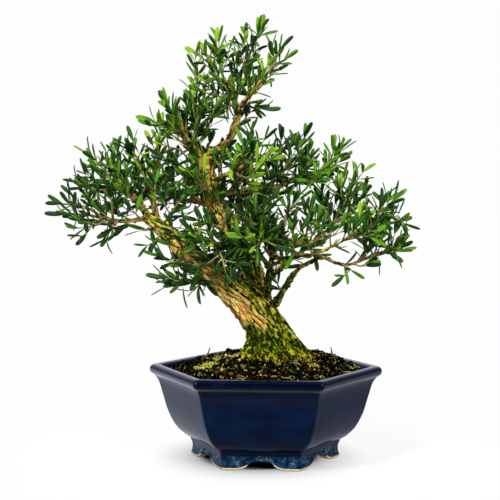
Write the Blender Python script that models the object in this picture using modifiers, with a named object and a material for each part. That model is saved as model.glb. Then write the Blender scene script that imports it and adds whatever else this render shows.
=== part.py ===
"""A boxwood bonsai in its glazed six-sided pot.

The pot stands flat side forward, with a corner at each end of X. Lengths in the tables are millimetres
from the middle of the pot's foot; the whole plant is then moved so that the origin lies under the
middle of its box, on the surface that it stands on.
"""

import bmesh
import bpy
import numpy as np
from mathutils import Matrix

MM = 0.001
GAP = 0.3  # clearance between touching pieces

# Pot: corner radius and height of each point of the half section
POT_SIDES = 6
POT_CORNER_RADIUS = 105.0
POT_HEIGHT = 82.0
FLOOR_TOP = 20.0
RECESS_TOP = 10.5
RIM_INNER_RADIUS = 92.5
FOOT_OUTER_RADIUS = 66.5
FOOT_INNER_RADIUS = 57.0
INNER_WALL = [
    (60.0, FLOOR_TOP), (72.0, 27.0), (80.0, 39.0), (85.0, 54.0), (88.5, 69.0), (RIM_INNER_RADIUS, 79.0),
]
RIM = [(95.5, POT_HEIGHT), (101.5, POT_HEIGHT), (POT_CORNER_RADIUS, 79.5), (104.6, 76.6), (101.6, 75.0)]
OUTER_WALL = [
    (98.2, 71.0), (95.5, 63.0), (92.6, 53.0), (89.7, 43.0), (86.3, 35.0), (81.8, 27.3), (74.5, 20.0),
]
FOOT = [
    (67.4, 15.4), (66.6, 12.5), (66.2, 8.0), (67.2, 4.2), (FOOT_OUTER_RADIUS, 0.0), (FOOT_INNER_RADIUS, 0.0),
]
RECESS_EDGE_RADIUS = 55.0
CORNER_ROUNDING = 1.6
ROUNDED_FROM = 50  # degrees between two faces from which their edge is rounded
SHARP_FROM = 35  # degrees from which an edge of the pot is drawn sharp
ARCH_HALF_OUTLINE = [(13.5, -1.0), (12.5, 0.0), (9.4, 3.0), (7.0, 7.4), (3.4, 7.9), (0.0, 9.4)]
DRAIN_RADIUS = 10.0

# Drain screen: a square net over the hole in the pot's floor
SCREEN_SIDE = 38.0
SCREEN_CELLS = 7
SCREEN_THICKNESS = 1.0

# Soil: a low mound round the trunk, with a crumbly surface
SOIL_EDGE = 76.5
SOIL_PEAK = 98.0
MOUND_CENTRE = (4.0, 8.0)
MOUND_REACH = 80.0
CRUMB_SIZE = 12.0
CRUMB_HEIGHT = 1.6
AIR_DEPTH = 30.0
WALL_CLEARANCE = 0.45  # between soil and pot, measured at the corners
CORNER_CLEARANCE = 0.55  # the same where wall and floor meet
SOIL_ROUNDING = 2.1

# Trunk: centre, half width across, half depth and lean in degrees, from the buried end to the fork
TRUNK_SECTIONS = [
    ((15, 7, 52), 23, 19, 0), ((15, 7, 76), 34, 27, 0), ((13, 6, 88), 35, 28, 0),
    ((8, 5, 97), 28.5, 24, 8), ((5, 3, 106), 21.5, 19, 16), ((0, 2, 118), 18, 17, 28),
    ((-9, 0, 130), 17.5, 16.5, 38), ((-17, -2, 141), 17.5, 16, 44), ((-29, -4, 151), 15, 14, 50),
    ((-43, -7, 162), 11.8, 11.4, 51),
]
BURIED_SECTIONS = 5  # the sections that the hole in the soil is shaped to
TRUNK_SIDES = 24
RIB_COUNT = 7
RIB_DEPTH = 0.10
RIB_TWIST = 0.06  # radians that the ribs turn over a millimetre of height
SMALL_RIB_COUNT = 5
SMALL_RIB_DEPTH = 0.05
SMALL_RIB_TURN = 1.3
SMALL_RIB_TWIST = 0.02
SOIL_LINE = 90.0
RIBS_FADE_OVER = 50.0
RIBS_FADE_BY = 0.6
TIP_BULGE = 3.0  # how far the end of the body is pointed inside the limb that goes on from it

# Limbs: route, radius at the start and at the end, and how many steps round
TAPER = 0.8  # under 1, a limb thins fast at first and then slowly
LIMBS = {
    "left_limb": (
        [(-6, 0, 138), (-26, -4, 152), (-45, -8, 164), (-60, -10, 176), (-72, -10, 185), (-84, -8, 198),
         (-97, -6, 208), (-107, -4, 216)],
        15.5, 4.5, 10,
    ),
    "leader": (
        [(-3, 4, 136), (-9, 10, 154), (-14, 14, 170), (-21, 16, 184), (-30, 17, 195), (-38, 17, 208),
         (-45, 16, 223), (-50, 14, 239), (-53, 12, 255), (-55, 10, 269)],
        11.0, 6.0, 10,
    ),
    "left_reach": (
        [(-100, -4, 210), (-110, -6, 213), (-123, -8, 211), (-137, -9, 212), (-151, -8, 215)],
        2.6, 1.6, 6,
    ),
    "left_rise": (
        [(-103, -4, 213), (-113, 2, 226), (-124, 8, 236), (-136, 12, 242), (-149, 14, 248)],
        4.0, 1.8, 6,
    ),
    "left_crown": ([(-97, -5, 209), (-101, 4, 227), (-108, 12, 245), (-113, 18, 259)], 3.6, 1.8, 6),
    "shoulder": (
        [(-55, 10, 268), (-63, 8, 275), (-71, 5, 283), (-75, 2, 294), (-76, 0, 302)],
        4.5, 2.0, 6,
    ),
    "apex_stem": (
        [(-54, 10, 266), (-46, 10, 274), (-38, 8, 279), (-31, 6, 287), (-27, 5, 297), (-25, 5, 307),
         (-28, 6, 319), (-33, 7, 331), (-38, 8, 339)],
        5.0, 2.4, 6,
    ),
    "apex_right": (
        [(-25, 5, 308), (-20, 0, 316), (-13, -4, 323), (-7, -7, 330), (0, -8, 338)],
        2.4, 1.5, 6,
    ),
    "apex_tip": ([(-33, 7, 332), (-26, 6, 340), (-20, 5, 347), (-16, 4, 355)], 2.2, 1.4, 6),
    "right_stem": (
        [(3, -4, 141), (3, -10, 156), (5, -14, 170), (8, -16, 183), (12, -16, 197), (17, -15, 209)],
        5.0, 2.6, 6,
    ),
    "right_low": (
        [(9, -4, 137), (16, -10, 148), (23, -15, 160), (31, -20, 170), (41, -24, 176), (51, -27, 180),
         (62, -30, 176), (73, -32, 174), (85, -33, 178), (97, -34, 184)],
        4.5, 1.6, 8,
    ),
    "right_mid": (
        [(11, -16, 189), (19, -6, 194), (29, 4, 192), (39, 14, 191), (49, 22, 197), (58, 28, 205),
         (65, 32, 213)],
        2.8, 1.8, 6,
    ),
    "right_far": (
        [(7, -16, 180), (20, -24, 179), (34, -32, 182), (46, -38, 184), (55, -42, 188), (65, -46, 193),
         (73, -48, 198), (81, -50, 204)],
        2.4, 1.5, 6,
    ),
    "upper_right": (
        [(-47, 15, 234), (-32, 22, 237), (-14, 28, 239), (5, 32, 241), (21, 36, 247), (36, 38, 251),
         (50, 40, 255)],
        3.2, 1.6, 6,
    ),
    "upper_mid": ([(-52, 13, 246), (-36, 4, 252), (-24, -4, 257), (-13, -10, 265)], 2.4, 1.6, 6),
    "front_limb": (
        [(-21, 16, 183), (-26, -2, 189), (-32, -18, 192), (-39, -32, 192), (-48, -44, 195)],
        3.4, 1.6, 6,
    ),
    "front_mid": ([(5, -14, 170), (-1, -30, 181), (-5, -44, 191), (-6, -56, 199)], 2.4, 1.5, 6),
    "back_limb": ([(-35, 17, 201), (-29, 38, 210), (-22, 58, 217), (-13, 76, 223)], 3.8, 1.8, 6),
    "back_left": ([(-47, 16, 226), (-60, 34, 228), (-74, 52, 230), (-90, 66, 232)], 3.4, 1.8, 6),
    "back_low": ([(-3, 10, 149), (5, 30, 160), (15, 50, 170), (26, 66, 179)], 3.4, 1.8, 6),
}

# Leafy sprays: the limb each grows from, how far along it, and the points that its twig leads through
SPRAYS = {
    "left_tip": ("left_reach", 1.0, [(-162, -8, 217), (-181, -6, 217)]),
    "left_under": ("left_reach", 0.8, [(-151, -18, 207), (-164, -24, 205)]),
    "left_hang": ("left_reach", 0.62, [(-137, -16, 203), (-140, -20, 195)]),
    "left_up": ("left_reach", 0.7, [(-135, -16, 223), (-136, -20, 239)]),
    "left_fan": ("left_rise", 1.0, [(-160, 8, 239), (-170, 4, 246)]),
    "left_high": ("left_rise", 0.78, [(-149, 16, 258), (-162, 16, 272)]),
    "left_peak": ("left_rise", 0.55, [(-135, 22, 256), (-139, 26, 275)]),
    "crown_end": ("left_crown", 1.0, [(-120, 20, 271), (-128, 20, 280)]),
    "crown_bright": ("left_crown", 0.75, [(-99, 8, 259), (-95, 0, 277), (-94, -4, 294)]),
    "limb_twig": ("left_limb", 0.86, [(-81, -20, 219), (-75, -24, 227), (-69, -26, 235)]),
    "shoulder_end": ("shoulder", 1.0, [(-82, -2, 308), (-87, -4, 316)]),
    "shoulder_left": ("shoulder", 0.72, [(-85, -12, 294), (-96, -18, 299)]),
    "shoulder_shoot": ("shoulder", 0.6, [(-66, 14, 303), (-63, 12, 325), (-64, 8, 356)]),
    "shoulder_right": ("shoulder", 0.45, [(-53, -4, 299), (-43, -8, 312)]),
    "shoulder_back": ("shoulder", 0.42, [(-74, 26, 287), (-86, 42, 296)]),
    "apex_left": ("apex_stem", 1.0, [(-41, 8, 354), (-42, 8, 372)]),
    "apex_side": ("apex_stem", 0.93, [(-47, 0, 342), (-52, -4, 357)]),
    "apex_main": ("apex_tip", 1.0, [(-12, 4, 365), (-7, 3, 379)]),
    "apex_far": ("apex_right", 1.0, [(7, -8, 348), (14, -8, 362)]),
    "apex_hook": ("apex_right", 0.3, [(-12, 2, 313), (-2, 2, 311)]),
    "apex_back": ("apex_stem", 0.84, [(-26, 20, 328), (-19, 30, 338)]),
    "mid_end": ("upper_mid", 1.0, [(-11, -12, 274), (-12, -14, 286)]),
    "mid_bright": ("upper_mid", 0.55, [(-12, -22, 249), (-5, -30, 261)]),
    "upper_shoot": ("upper_right", 0.62, [(9, 34, 262), (13, 32, 285)]),
    "upper_tall": ("upper_right", 0.8, [(29, 40, 267), (34, 40, 288)]),
    "upper_end": ("upper_right", 1.0, [(61, 40, 261), (68, 40, 275)]),
    "upper_back": ("upper_right", 0.36, [(-23, 48, 253), (-27, 60, 268)]),
    "ruff_top": ("right_mid", 1.0, [(70, 34, 226), (69, 34, 249)]),
    "ruff_left": ("right_mid", 0.84, [(54, 36, 221), (50, 44, 235)]),
    "ruff_right": ("right_mid", 0.9, [(76, 20, 221), (87, 14, 235)]),
    "mid_leafy": ("right_mid", 0.5, [(37, -2, 205), (40, -8, 219)]),
    "far_tip": ("right_far", 1.0, [(93, -50, 213), (103, -50, 222), (111, -50, 230)]),
    "far_side": ("right_far", 0.84, [(88, -58, 201), (101, -62, 208)]),
    "low_tip": ("right_low", 1.0, [(107, -34, 186), (118, -34, 189)]),
    "low_up": ("right_low", 0.88, [(91, -24, 190), (100, -18, 202)]),
    "low_hang": ("right_low", 0.74, [(74, -36, 170), (70, -40, 165)]),
    "low_sprig": ("right_low", 0.14, [(14, -22, 153), (10, -28, 163)]),
    "stem_end": ("right_stem", 1.0, [(21, -15, 219), (29, -16, 232)]),
    "stem_front": ("right_stem", 0.72, [(5, -32, 200), (2, -44, 213)]),
    "front_end": ("front_limb", 1.0, [(-56, -52, 201), (-62, -58, 205)]),
    "front_low": ("front_limb", 0.6, [(-44, -34, 179), (-56, -46, 173)]),
    "front_star": ("front_limb", 0.45, [(-28, -36, 181), (-24, -50, 175)]),
    "centre_end": ("front_mid", 1.0, [(-7, -62, 209), (-9, -66, 219)]),
    "limb_low": ("left_limb", 0.52, [(-69, -28, 176), (-81, -34, 176), (-90, -38, 181)]),
    "limb_under": ("left_limb", 0.36, [(-62, -26, 159), (-74, -34, 159), (-84, -38, 162)]),
    "leader_left": ("leader", 0.52, [(-53, -4, 210), (-58, -16, 212)]),
    "leader_bright": ("leader", 0.78, [(-58, -2, 241), (-63, -12, 251)]),
    "back_end": ("back_limb", 1.0, [(-8, 88, 231), (-1, 96, 238)]),
    "back_left_end": ("back_left", 1.0, [(-103, 76, 234), (-116, 84, 240)]),
    "back_low_end": ("back_low", 1.0, [(37, 76, 184), (48, 84, 189)]),
    "back_rise": ("back_limb", 0.6, [(-34, 58, 226), (-42, 64, 238)]),
    "back_left_rise": ("back_left", 0.55, [(-66, 54, 242), (-62, 62, 255)]),
    "back_high": ("leader", 0.88, [(-48, 34, 262), (-42, 48, 276)]),
}
STUB_REACH = 4.5  # how far a stub stands out of its limb before the twig takes over
STUB_SPREAD = 1.15  # how much thicker it is in its limb
STRAIGHT_RUN = 2.5  # how far a twig goes on in line with its stub
FIRST_BEND = 7.0
TWIG_STEP = 16.0
TWIG_BASE = 1.3
TWIG_TIP = 0.75
TWIG_SIDES = 4

# Leaves: opposite pairs, each turned a quarter from the last
SEED = 41
LEAF_LENGTH = 18.0
USUAL_LENGTH_SHARE = 0.9
LENGTH_SCATTER = 0.12
LEAF_WIDTH = 5.6
LEAF_THICKNESS = 0.7
LEAF_ROOT = 0.6  # how deep its foot is set in the twig
WIDEST_AT = 0.62
TIP_WIDTH_SHARE = 0.45
LEAF_ARCH = 0.10
PAIR_SPACING = 7.5
PAIRS_ON_TWIG = 4
LEAVES_ON_TWIG = 7
FIRST_PAIR_FROM_TIP = 1.0
LAST_PAIR_FROM_BASE = 4.0
TIP_OPENING = 0.50
OPENING_STEP = 0.16
OPENING_SCATTER = 0.14
TURN_SCATTER = 0.25
SKYWARD = 0.30

# Room for a leaf: its least gap to other pieces, and how a leaf without it is bent aside and shortened
LEAF_CLEARANCE = 0.8
MOST_CROSSING = 0.4  # how far it may cut past the middle of a leaf of its own spray
TRUNK_MARGIN = 1.1
STUB_MARGIN = 1.2
BENDS_TRIED = 7
BEND_STEP = 0.35
BENT_SHORTER_BY = 0.05

COLOURS = {
    "glaze": ((0.030, 0.045, 0.110), 0.16),
    "soil": ((0.040, 0.032, 0.024), 0.95),
    "bark": ((0.330, 0.260, 0.150), 0.85),
    "foliage": ((0.090, 0.170, 0.055), 0.50),
    "screen": ((0.030, 0.030, 0.032), 0.60),
}


def make_material(name):
    """A Principled material of the piece's own colour and roughness."""
    colour, roughness = COLOURS[name]
    material = bpy.data.materials.new(name)
    material.use_nodes = True
    shader = material.node_tree.nodes["Principled BSDF"]
    shader.inputs["Base Color"].default_value = (*colour, 1.0)
    shader.inputs["Roughness"].default_value = roughness
    shader.inputs["Metallic"].default_value = 0.0
    return material


def add_mesh(name, vertices, faces, collection, material=None):
    """An object in the collection whose mesh has these points, in millimetres, and these faces."""
    mesh = bpy.data.meshes.new(name)
    mesh.from_pydata(np.asarray(vertices, float) * MM, [], [tuple(face) for face in faces])
    mesh.update()
    if material:
        mesh.materials.append(material)
    piece = bpy.data.objects.new(name, mesh)
    collection.objects.link(piece)
    return piece


def face_outward(mesh, weld=0.0):
    """Turns all the faces of a closed mesh outward, once points within so many millimetres are welded."""
    bm = bmesh.new()
    bm.from_mesh(mesh)
    if weld:
        bmesh.ops.remove_doubles(bm, verts=bm.verts, dist=weld * MM)
    bmesh.ops.recalc_face_normals(bm, faces=bm.faces)
    bm.to_mesh(mesh)
    bm.free()


def as_helper(piece):
    """Marks a cutter, which shows as wires and isn't rendered."""
    piece.hide_render = True
    piece.display_type = "WIRE"
    return piece


def settle(piece):
    """Replaces the object's mesh by what its modifiers make of it."""
    graph = bpy.context.evaluated_depsgraph_get()
    mesh = bpy.data.meshes.new_from_object(piece.evaluated_get(graph))
    piece.modifiers.clear()
    piece.data = mesh
    return piece


def curve_tube(name, points, radii, sides, collection):
    """A closed tube along straight runs between the points, made a mesh with its caps welded on."""
    curve = bpy.data.curves.new(name, "CURVE")
    curve.dimensions = "3D"
    curve.bevel_depth = MM
    curve.bevel_resolution = sides // 2 - 2
    curve.use_fill_caps = True
    spline = curve.splines.new("POLY")
    spline.points.add(len(points) - 1)
    for spline_point, place, radius in zip(spline.points, points, radii):
        spline_point.co = (*(np.asarray(place) * MM), 1.0)
        spline_point.radius = radius
    guide = bpy.data.objects.new(name + "_guide", curve)
    collection.objects.link(guide)
    graph = bpy.context.evaluated_depsgraph_get()
    mesh = bpy.data.meshes.new_from_object(guide.evaluated_get(graph))
    piece = bpy.data.objects.new(name, mesh)
    piece.matrix_world = guide.matrix_world
    collection.objects.link(piece)
    bpy.data.objects.remove(guide)
    face_outward(mesh, weld=0.01)
    return piece


def fuse(piece, others):
    """Joins the objects of a collection to the piece as one body, and removes them."""
    union = piece.modifiers.new("fused", "BOOLEAN")
    union.operation = "UNION"
    union.operand_type = "COLLECTION"
    union.collection = others
    union.solver = "EXACT"
    settle(piece)
    for other in list(others.objects):
        bpy.data.objects.remove(other)
    bpy.data.collections.remove(others)
    return piece


def unit(vector):
    """The vector, or each row of them, at length one."""
    vector = np.asarray(vector, float)
    return vector / np.linalg.norm(vector, axis=-1, keepdims=True)


def turned(vector, axis, angle):
    """The vector turned about a unit axis."""
    vector = np.asarray(vector, float)
    return (
        vector * np.cos(angle)
        + np.cross(axis, vector) * np.sin(angle)
        + axis * np.dot(axis, vector) * (1 - np.cos(angle))
    )


class Route:
    """A smooth line through hand-set points, read by distance from its start (Catmull-Rom)."""

    def __init__(self, points, steps=12):
        points = np.asarray(points, float)
        ends = np.vstack([2 * points[0] - points[1], points, 2 * points[-1] - points[-2]])
        share = np.linspace(0, 1, steps, endpoint=False)[:, None]
        runs = []
        for before, start, end, after in zip(ends, ends[1:], ends[2:], ends[3:]):
            linear = (end - before) * share
            square = (2 * before - 5 * start + 4 * end - after) * share**2
            cube = (3 * start - before - 3 * end + after) * share**3
            runs.append(start + 0.5 * (linear + square + cube))
        self.line = np.vstack([*runs, points[-1:]])
        self.reach = np.r_[0, np.cumsum(np.linalg.norm(np.diff(self.line, axis=0), axis=1))]
        self.length = self.reach[-1]

    def at(self, distance):
        """The point, or points, at these distances along the line."""
        return np.stack([np.interp(distance, self.reach, axis) for axis in self.line.T], axis=-1)

    def heading(self, distance):
        """The direction of travel there."""
        nearby = 0.5
        return unit(self.at(min(distance + nearby, self.length)) - self.at(max(distance - nearby, 0)))


def pot_profile():
    """The half section from the middle of the floor, over the rim and down to the middle underneath."""
    underneath = [(RECESS_EDGE_RADIUS, RECESS_TOP), (0.0, RECESS_TOP)]
    return [(0.0, FLOOR_TOP), *INNER_WALL, *RIM, *OUTER_WALL, *FOOT, *underneath]


def add_turned(name, profile, collection, sides, material=None):
    """A profile of corner radius and height, turned round Z with flat sides between its corners."""
    mesh = bpy.data.meshes.new(name)
    points = [(radius * MM, 0.0, height * MM) for radius, height in profile]
    mesh.from_pydata(points, [(i, i + 1) for i in range(len(points) - 1)], [])
    if material:
        mesh.materials.append(material)
    piece = bpy.data.objects.new(name, mesh)
    collection.objects.link(piece)
    screw = piece.modifiers.new("turned", "SCREW")
    screw.axis = "Z"
    screw.steps = sides
    screw.render_steps = sides
    screw.use_merge_vertices = True
    screw.merge_threshold = 0.01 * MM
    screw.use_smooth_shade = False
    return piece


def ease_corners(piece, width):
    """Takes the sharp edges off, such as those between the pot's sides."""
    bevel = piece.modifiers.new("corners", "BEVEL")
    bevel.width = width * MM
    bevel.segments = 1
    bevel.limit_method = "ANGLE"
    bevel.angle_limit = np.radians(ROUNDED_FROM)


def cut_with(piece, cutters):
    """Cuts the objects of a collection out of the piece."""
    cut = piece.modifiers.new("cut", "BOOLEAN")
    cut.operation = "DIFFERENCE"
    cut.operand_type = "COLLECTION"
    cut.collection = cutters
    cut.solver = "EXACT"


def arch_cutter(number, collection):
    """A bar with the outline of the arch between two feet, running right across the pot's foot."""
    right = ARCH_HALF_OUTLINE
    outline = [*right, *[(-across, up) for across, up in reversed(right[:-1])]]
    reach = POT_CORNER_RADIUS
    count = len(outline)
    vertices = [(across, end, up) for end in (-reach, reach) for across, up in outline]
    sides = [(i, (i + 1) % count, count + (i + 1) % count, count + i) for i in range(count)]
    faces = [*sides, tuple(range(count))[::-1], tuple(range(count, 2 * count))]
    cutter = as_helper(add_mesh(f"arch_cutter_{number}", vertices, faces, collection))
    cutter.rotation_euler.z = number * 2 * np.pi / POT_SIDES
    face_outward(cutter.data)


def build_pot(parts, helpers):
    """The fired pot: six flared sides, a rolled rim, a recessed foot cut into six cloud feet, and a drain."""
    pot = add_turned("pot", pot_profile(), parts, POT_SIDES, make_material("glaze"))
    ease_corners(pot, CORNER_ROUNDING)
    cutters = bpy.data.collections.new("pot_cutters")
    helpers.children.link(cutters)
    for number in range(POT_SIDES // 2):
        arch_cutter(number, cutters)
    bpy.ops.mesh.primitive_cylinder_add(
        vertices=20, radius=DRAIN_RADIUS * MM, depth=2 * FLOOR_TOP * MM, location=(0, 0, FLOOR_TOP * MM)
    )
    drain = as_helper(bpy.context.object)
    drain.name = "drain_cutter"
    for collection in list(drain.users_collection):
        collection.objects.unlink(drain)
    cutters.objects.link(drain)
    cut_with(pot, cutters)
    settle(pot)
    pot.data.shade_smooth()
    pot.data.set_sharp_from_angle(angle=np.radians(SHARP_FROM))
    return pot


def build_screen(parts):
    """A flat net of square holes, lying on the pot's floor over the drain."""
    steps = SCREEN_CELLS + 1
    across, along = np.meshgrid(np.arange(steps), np.arange(steps))
    cell = SCREEN_SIDE / SCREEN_CELLS
    level = FLOOR_TOP + GAP
    corner = SCREEN_SIDE / 2
    heights = np.full(steps**2, level)
    vertices = np.stack([across.ravel() * cell - corner, along.ravel() * cell - corner, heights], 1)
    faces = []
    for row in range(SCREEN_CELLS):
        for column in range(SCREEN_CELLS):
            if row % 2 and column % 2:
                continue
            first = row * steps + column
            faces.append((first, first + 1, first + steps + 1, first + steps))
    screen = add_mesh("drain_screen", vertices, faces, parts, make_material("screen"))
    plate = screen.modifiers.new("plate", "SOLIDIFY")
    plate.thickness = SCREEN_THICKNESS * MM
    plate.offset = 1.0
    return screen


def soil_height(across, along):
    """Height of the soil: a mound that falls away smoothly, and crumbs from three crossed waves."""
    away = np.hypot(across - MOUND_CENTRE[0], along - MOUND_CENTRE[1]) / MOUND_REACH
    mound = SOIL_EDGE + (SOIL_PEAK - SOIL_EDGE) * np.clip(1 - away**2, 0, 1) ** 1.2
    coarse = np.sin(0.61 * across + 0.9) * np.cos(0.53 * along)
    slanted = np.sin(0.33 * across - 0.71 * along)
    fine = np.cos(0.94 * across + 0.42 * along + 2.0)
    return mound + CRUMB_HEIGHT * (0.42 * coarse + 0.33 * slanted + 0.25 * fine)


def build_soil(parts, helpers, trunk_cutter):
    """Soil that fills the pot, mounded and crumbly on top, with a hole for the trunk."""
    floor = FLOOR_TOP + SCREEN_THICKNESS + 2 * GAP
    flank = [(radius - WALL_CLEARANCE, height) for radius, height in INNER_WALL if height > floor]
    wall_heights = [height for _, height in INNER_WALL]
    wall_radii = [radius for radius, _ in INNER_WALL]
    floor_radius = np.interp(floor, wall_heights, wall_radii) - CORNER_CLEARANCE
    brim = (flank[-1][0], SOIL_PEAK + 2 * CRUMB_HEIGHT)
    profile = [(0.0, brim[1]), brim, *flank[::-1], (floor_radius, floor), (0.0, floor)]
    soil = add_turned("soil", profile, parts, POT_SIDES, make_material("soil"))
    ease_corners(soil, SOIL_ROUNDING)
    cutters = bpy.data.collections.new("soil_cutters")
    helpers.children.link(cutters)
    air_over_soil(cutters)
    cutters.objects.link(trunk_cutter)
    cut_with(soil, cutters)
    settle(soil)
    return soil


def air_over_soil(collection):
    """The cutter that shapes the top of the soil: a block whose underside, on a square grid, is that shape."""
    count = int(2 * POT_CORNER_RADIUS / CRUMB_SIZE)
    line = np.linspace(-POT_CORNER_RADIUS, POT_CORNER_RADIUS, count)
    across, along = np.meshgrid(line, line)
    low = np.stack([across.ravel(), along.ravel(), soil_height(across, along).ravel()], 1)
    high = low.copy()
    high[:, 2] = SOIL_PEAK + AIR_DEPTH
    cells = (np.arange(count - 1)[:, None] * count + np.arange(count - 1)).ravel()
    under = np.stack([cells, cells + count, cells + count + 1, cells + 1], 1)
    split = np.vstack([under[:, [0, 1, 2]], under[:, [0, 2, 3]]])
    above = count * count
    rim = np.r_[
        np.arange(count - 1),
        np.arange(count - 1, above - 1, count),
        np.arange(above - 1, above - count, -1),
        np.arange(above - count, 0, -count),
    ]
    after = np.roll(rim, -1)
    edge = np.stack([rim, after, after + above, rim + above], 1)
    faces = [*split, *(split[:, ::-1] + above), *edge]
    air = as_helper(add_mesh("air_over_soil", np.vstack([low, high]), faces, collection))
    face_outward(air.data)


def trunk_ribs(around, height):
    """The trunk's reach from its middle, as a share of its width: ribs that twist and fade on the way up."""
    above = height - SOIL_LINE
    depth = RIB_DEPTH * (1 - RIBS_FADE_BY * np.clip(above / RIBS_FADE_OVER, 0, 1))
    large = depth * np.cos(RIB_COUNT * around + RIB_TWIST * above)
    small = SMALL_RIB_DEPTH * np.cos(SMALL_RIB_COUNT * around + SMALL_RIB_TURN - SMALL_RIB_TWIST * above)
    return 1 + large + small


def trunk_loft(name, grow, collection, last=None):
    """The trunk's body, lofted through its sections and made thicker all over by so many millimetres."""
    sections = TRUNK_SECTIONS[:last]
    centres = np.array([centre for centre, _, _, _ in sections], float)
    around = np.linspace(0, 2 * np.pi, TRUNK_SIDES, endpoint=False)
    rings = []
    deep = np.array((0.0, 1.0, 0.0))
    for centre, half_across, half_deep, lean in sections:
        side = np.array((np.cos(np.radians(lean)), 0.0, np.sin(np.radians(lean))))
        ribs = trunk_ribs(around, centre[2])
        sideways = ((half_across * ribs + grow) * np.cos(around))[:, None] * side
        inward = ((half_deep * ribs + grow) * np.sin(around))[:, None] * deep
        rings.append(np.array(centre) + sideways + inward)
    count = len(rings)
    first = centres[0] - (0, 0, grow)
    top = centres[-1] + np.cross(side, deep) * (TIP_BULGE + grow)
    vertices = np.vstack([*rings, first, top])
    faces = []
    for ring in range(count - 1):
        for step in range(TRUNK_SIDES):
            here = ring * TRUNK_SIDES + step
            beside = ring * TRUNK_SIDES + (step + 1) % TRUNK_SIDES
            faces.append((here, beside, beside + TRUNK_SIDES))
            faces.append((here, beside + TRUNK_SIDES, here + TRUNK_SIDES))
    bottom = count * TRUNK_SIDES
    last_ring = bottom - TRUNK_SIDES
    for step in range(TRUNK_SIDES):
        beside = (step + 1) % TRUNK_SIDES
        faces.append((bottom, beside, step))
        faces.append((bottom + 1, last_ring + step, last_ring + beside))
    body = add_mesh(name, vertices, faces, collection)
    face_outward(body.data)
    return body


def limb_radius(limb, share):
    """The limb's radius a share of the way along it: fast taper at first, then slow."""
    _, start, end, _ = LIMBS[limb]
    return start + (end - start) * share**TAPER


def spray_route(name):
    """The line from the limb's axis through the spray's points, and where its stub ends."""
    limb, share, points = SPRAYS[name]
    line = Route(LIMBS[limb][0])
    route = Route([line.at(share * line.length), *points])
    return route, limb_radius(limb, share) + STUB_REACH


def stub_points(name):
    """The stub: straight from the limb's axis to its flat end."""
    route, cut = spray_route(name)
    return [route.at(0), route.at(cut)]


def twig_points(name):
    """The spray's own twig: it starts in line with the stub, clear of it by the gap."""
    route, cut = spray_route(name)
    end = route.at(cut)
    heading = unit(end - route.at(0))
    bend = cut + FIRST_BEND
    count = max(2, round((route.length - bend) / TWIG_STEP) + 1)
    further = np.linspace(bend, route.length, count)
    return [end + heading * GAP, end + heading * STRAIGHT_RUN, *route.at(further)]


def build_trunk(parts):
    """Trunk, limbs and the stubs of the twigs, grown as one."""
    trunk = trunk_loft("trunk", 0.0, parts)
    trunk.data.materials.append(make_material("bark"))
    grown = bpy.data.collections.new("grown")
    bpy.context.scene.collection.children.link(grown)
    tips = {limb: stub_points(name)[-1:] for name, (limb, share, _) in SPRAYS.items() if share == 1.0}
    for name, (points, _, _, sides) in LIMBS.items():
        route = Route(points)
        share = np.linspace(0, 1, len(points))
        tip = tips.get(name, [])
        radii = [*limb_radius(name, share), *[TWIG_BASE] * len(tip)]
        curve_tube(name, [*route.at(share * route.length), *tip], radii, sides, grown)
    for name, (limb, share, _) in SPRAYS.items():
        if share < 1.0:
            radii = [TWIG_BASE * STUB_SPREAD, TWIG_BASE]
            curve_tube("stub_" + name, stub_points(name), radii, TWIG_SIDES, grown)
    return fuse(trunk, grown)


def leaf_draws(spray, pair, count):
    """Numbers from -1 to 1 that belong to one pair of leaves of one spray."""
    return np.random.default_rng([SEED, spray, pair]).uniform(-1, 1, count)


def frame_about(heading):
    """Two directions square to a twig, the first as near to sideways as it can be."""
    beside = unit(np.cross(heading, (0.2, -0.3, 1.0)))
    return beside, np.cross(heading, beside)


def leaf_pair(place, heading, turn, opening, draws):
    """Two opposite leaves: root, direction, upper side and length of each.

    They open from the twig by the angle given, lift a little skyward, and show their upper side to its tip.
    """
    beside, across = frame_about(heading)
    pair = []
    for side in (0, 1):
        angle = turn + np.pi * side + TURN_SCATTER * draws[side]
        outward = beside * np.cos(angle) + across * np.sin(angle)
        tilt = opening + OPENING_SCATTER * draws[2 + side]
        direction = unit(heading * np.cos(tilt) + outward * np.sin(tilt) + np.array((0, 0, SKYWARD)))
        upper = unit(heading - direction * np.dot(heading, direction))
        length = LEAF_LENGTH * (USUAL_LENGTH_SHARE + LENGTH_SCATTER * draws[4 + side])
        pair.append((place, direction, upper, length))
    return pair


def spray_plan(name):
    """The points and radii of a spray's twig, and its leaves, furthest first."""
    number = list(SPRAYS).index(name)
    points = np.array(twig_points(name))
    line = Route(points, 6)
    phase = leaf_draws(number, PAIRS_ON_TWIG, 1)[0] * np.pi
    leaves = []
    for pair in range(PAIRS_ON_TWIG):
        distance = line.length - FIRST_PAIR_FROM_TIP - PAIR_SPACING * pair
        if distance < LAST_PAIR_FROM_BASE:
            break
        opening = TIP_OPENING + OPENING_STEP * pair
        place, heading = line.at(distance), line.heading(distance)
        leaves += leaf_pair(place, heading, phase + pair * np.pi / 2, opening, leaf_draws(number, pair, 6))
    return points, np.linspace(TWIG_BASE, TWIG_TIP, len(points)), leaves[:LEAVES_ON_TWIG]


def blade_line(place, direction, upper, length):
    """Root, widest part and tip of a leaf, along its middle; the tip arches down and away from the twig."""
    root = place - direction * LEAF_ROOT
    wide = place + direction * length * WIDEST_AT
    tip = place + direction * length - upper * length * LEAF_ARCH
    return np.array([root, wide, tip])


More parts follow.
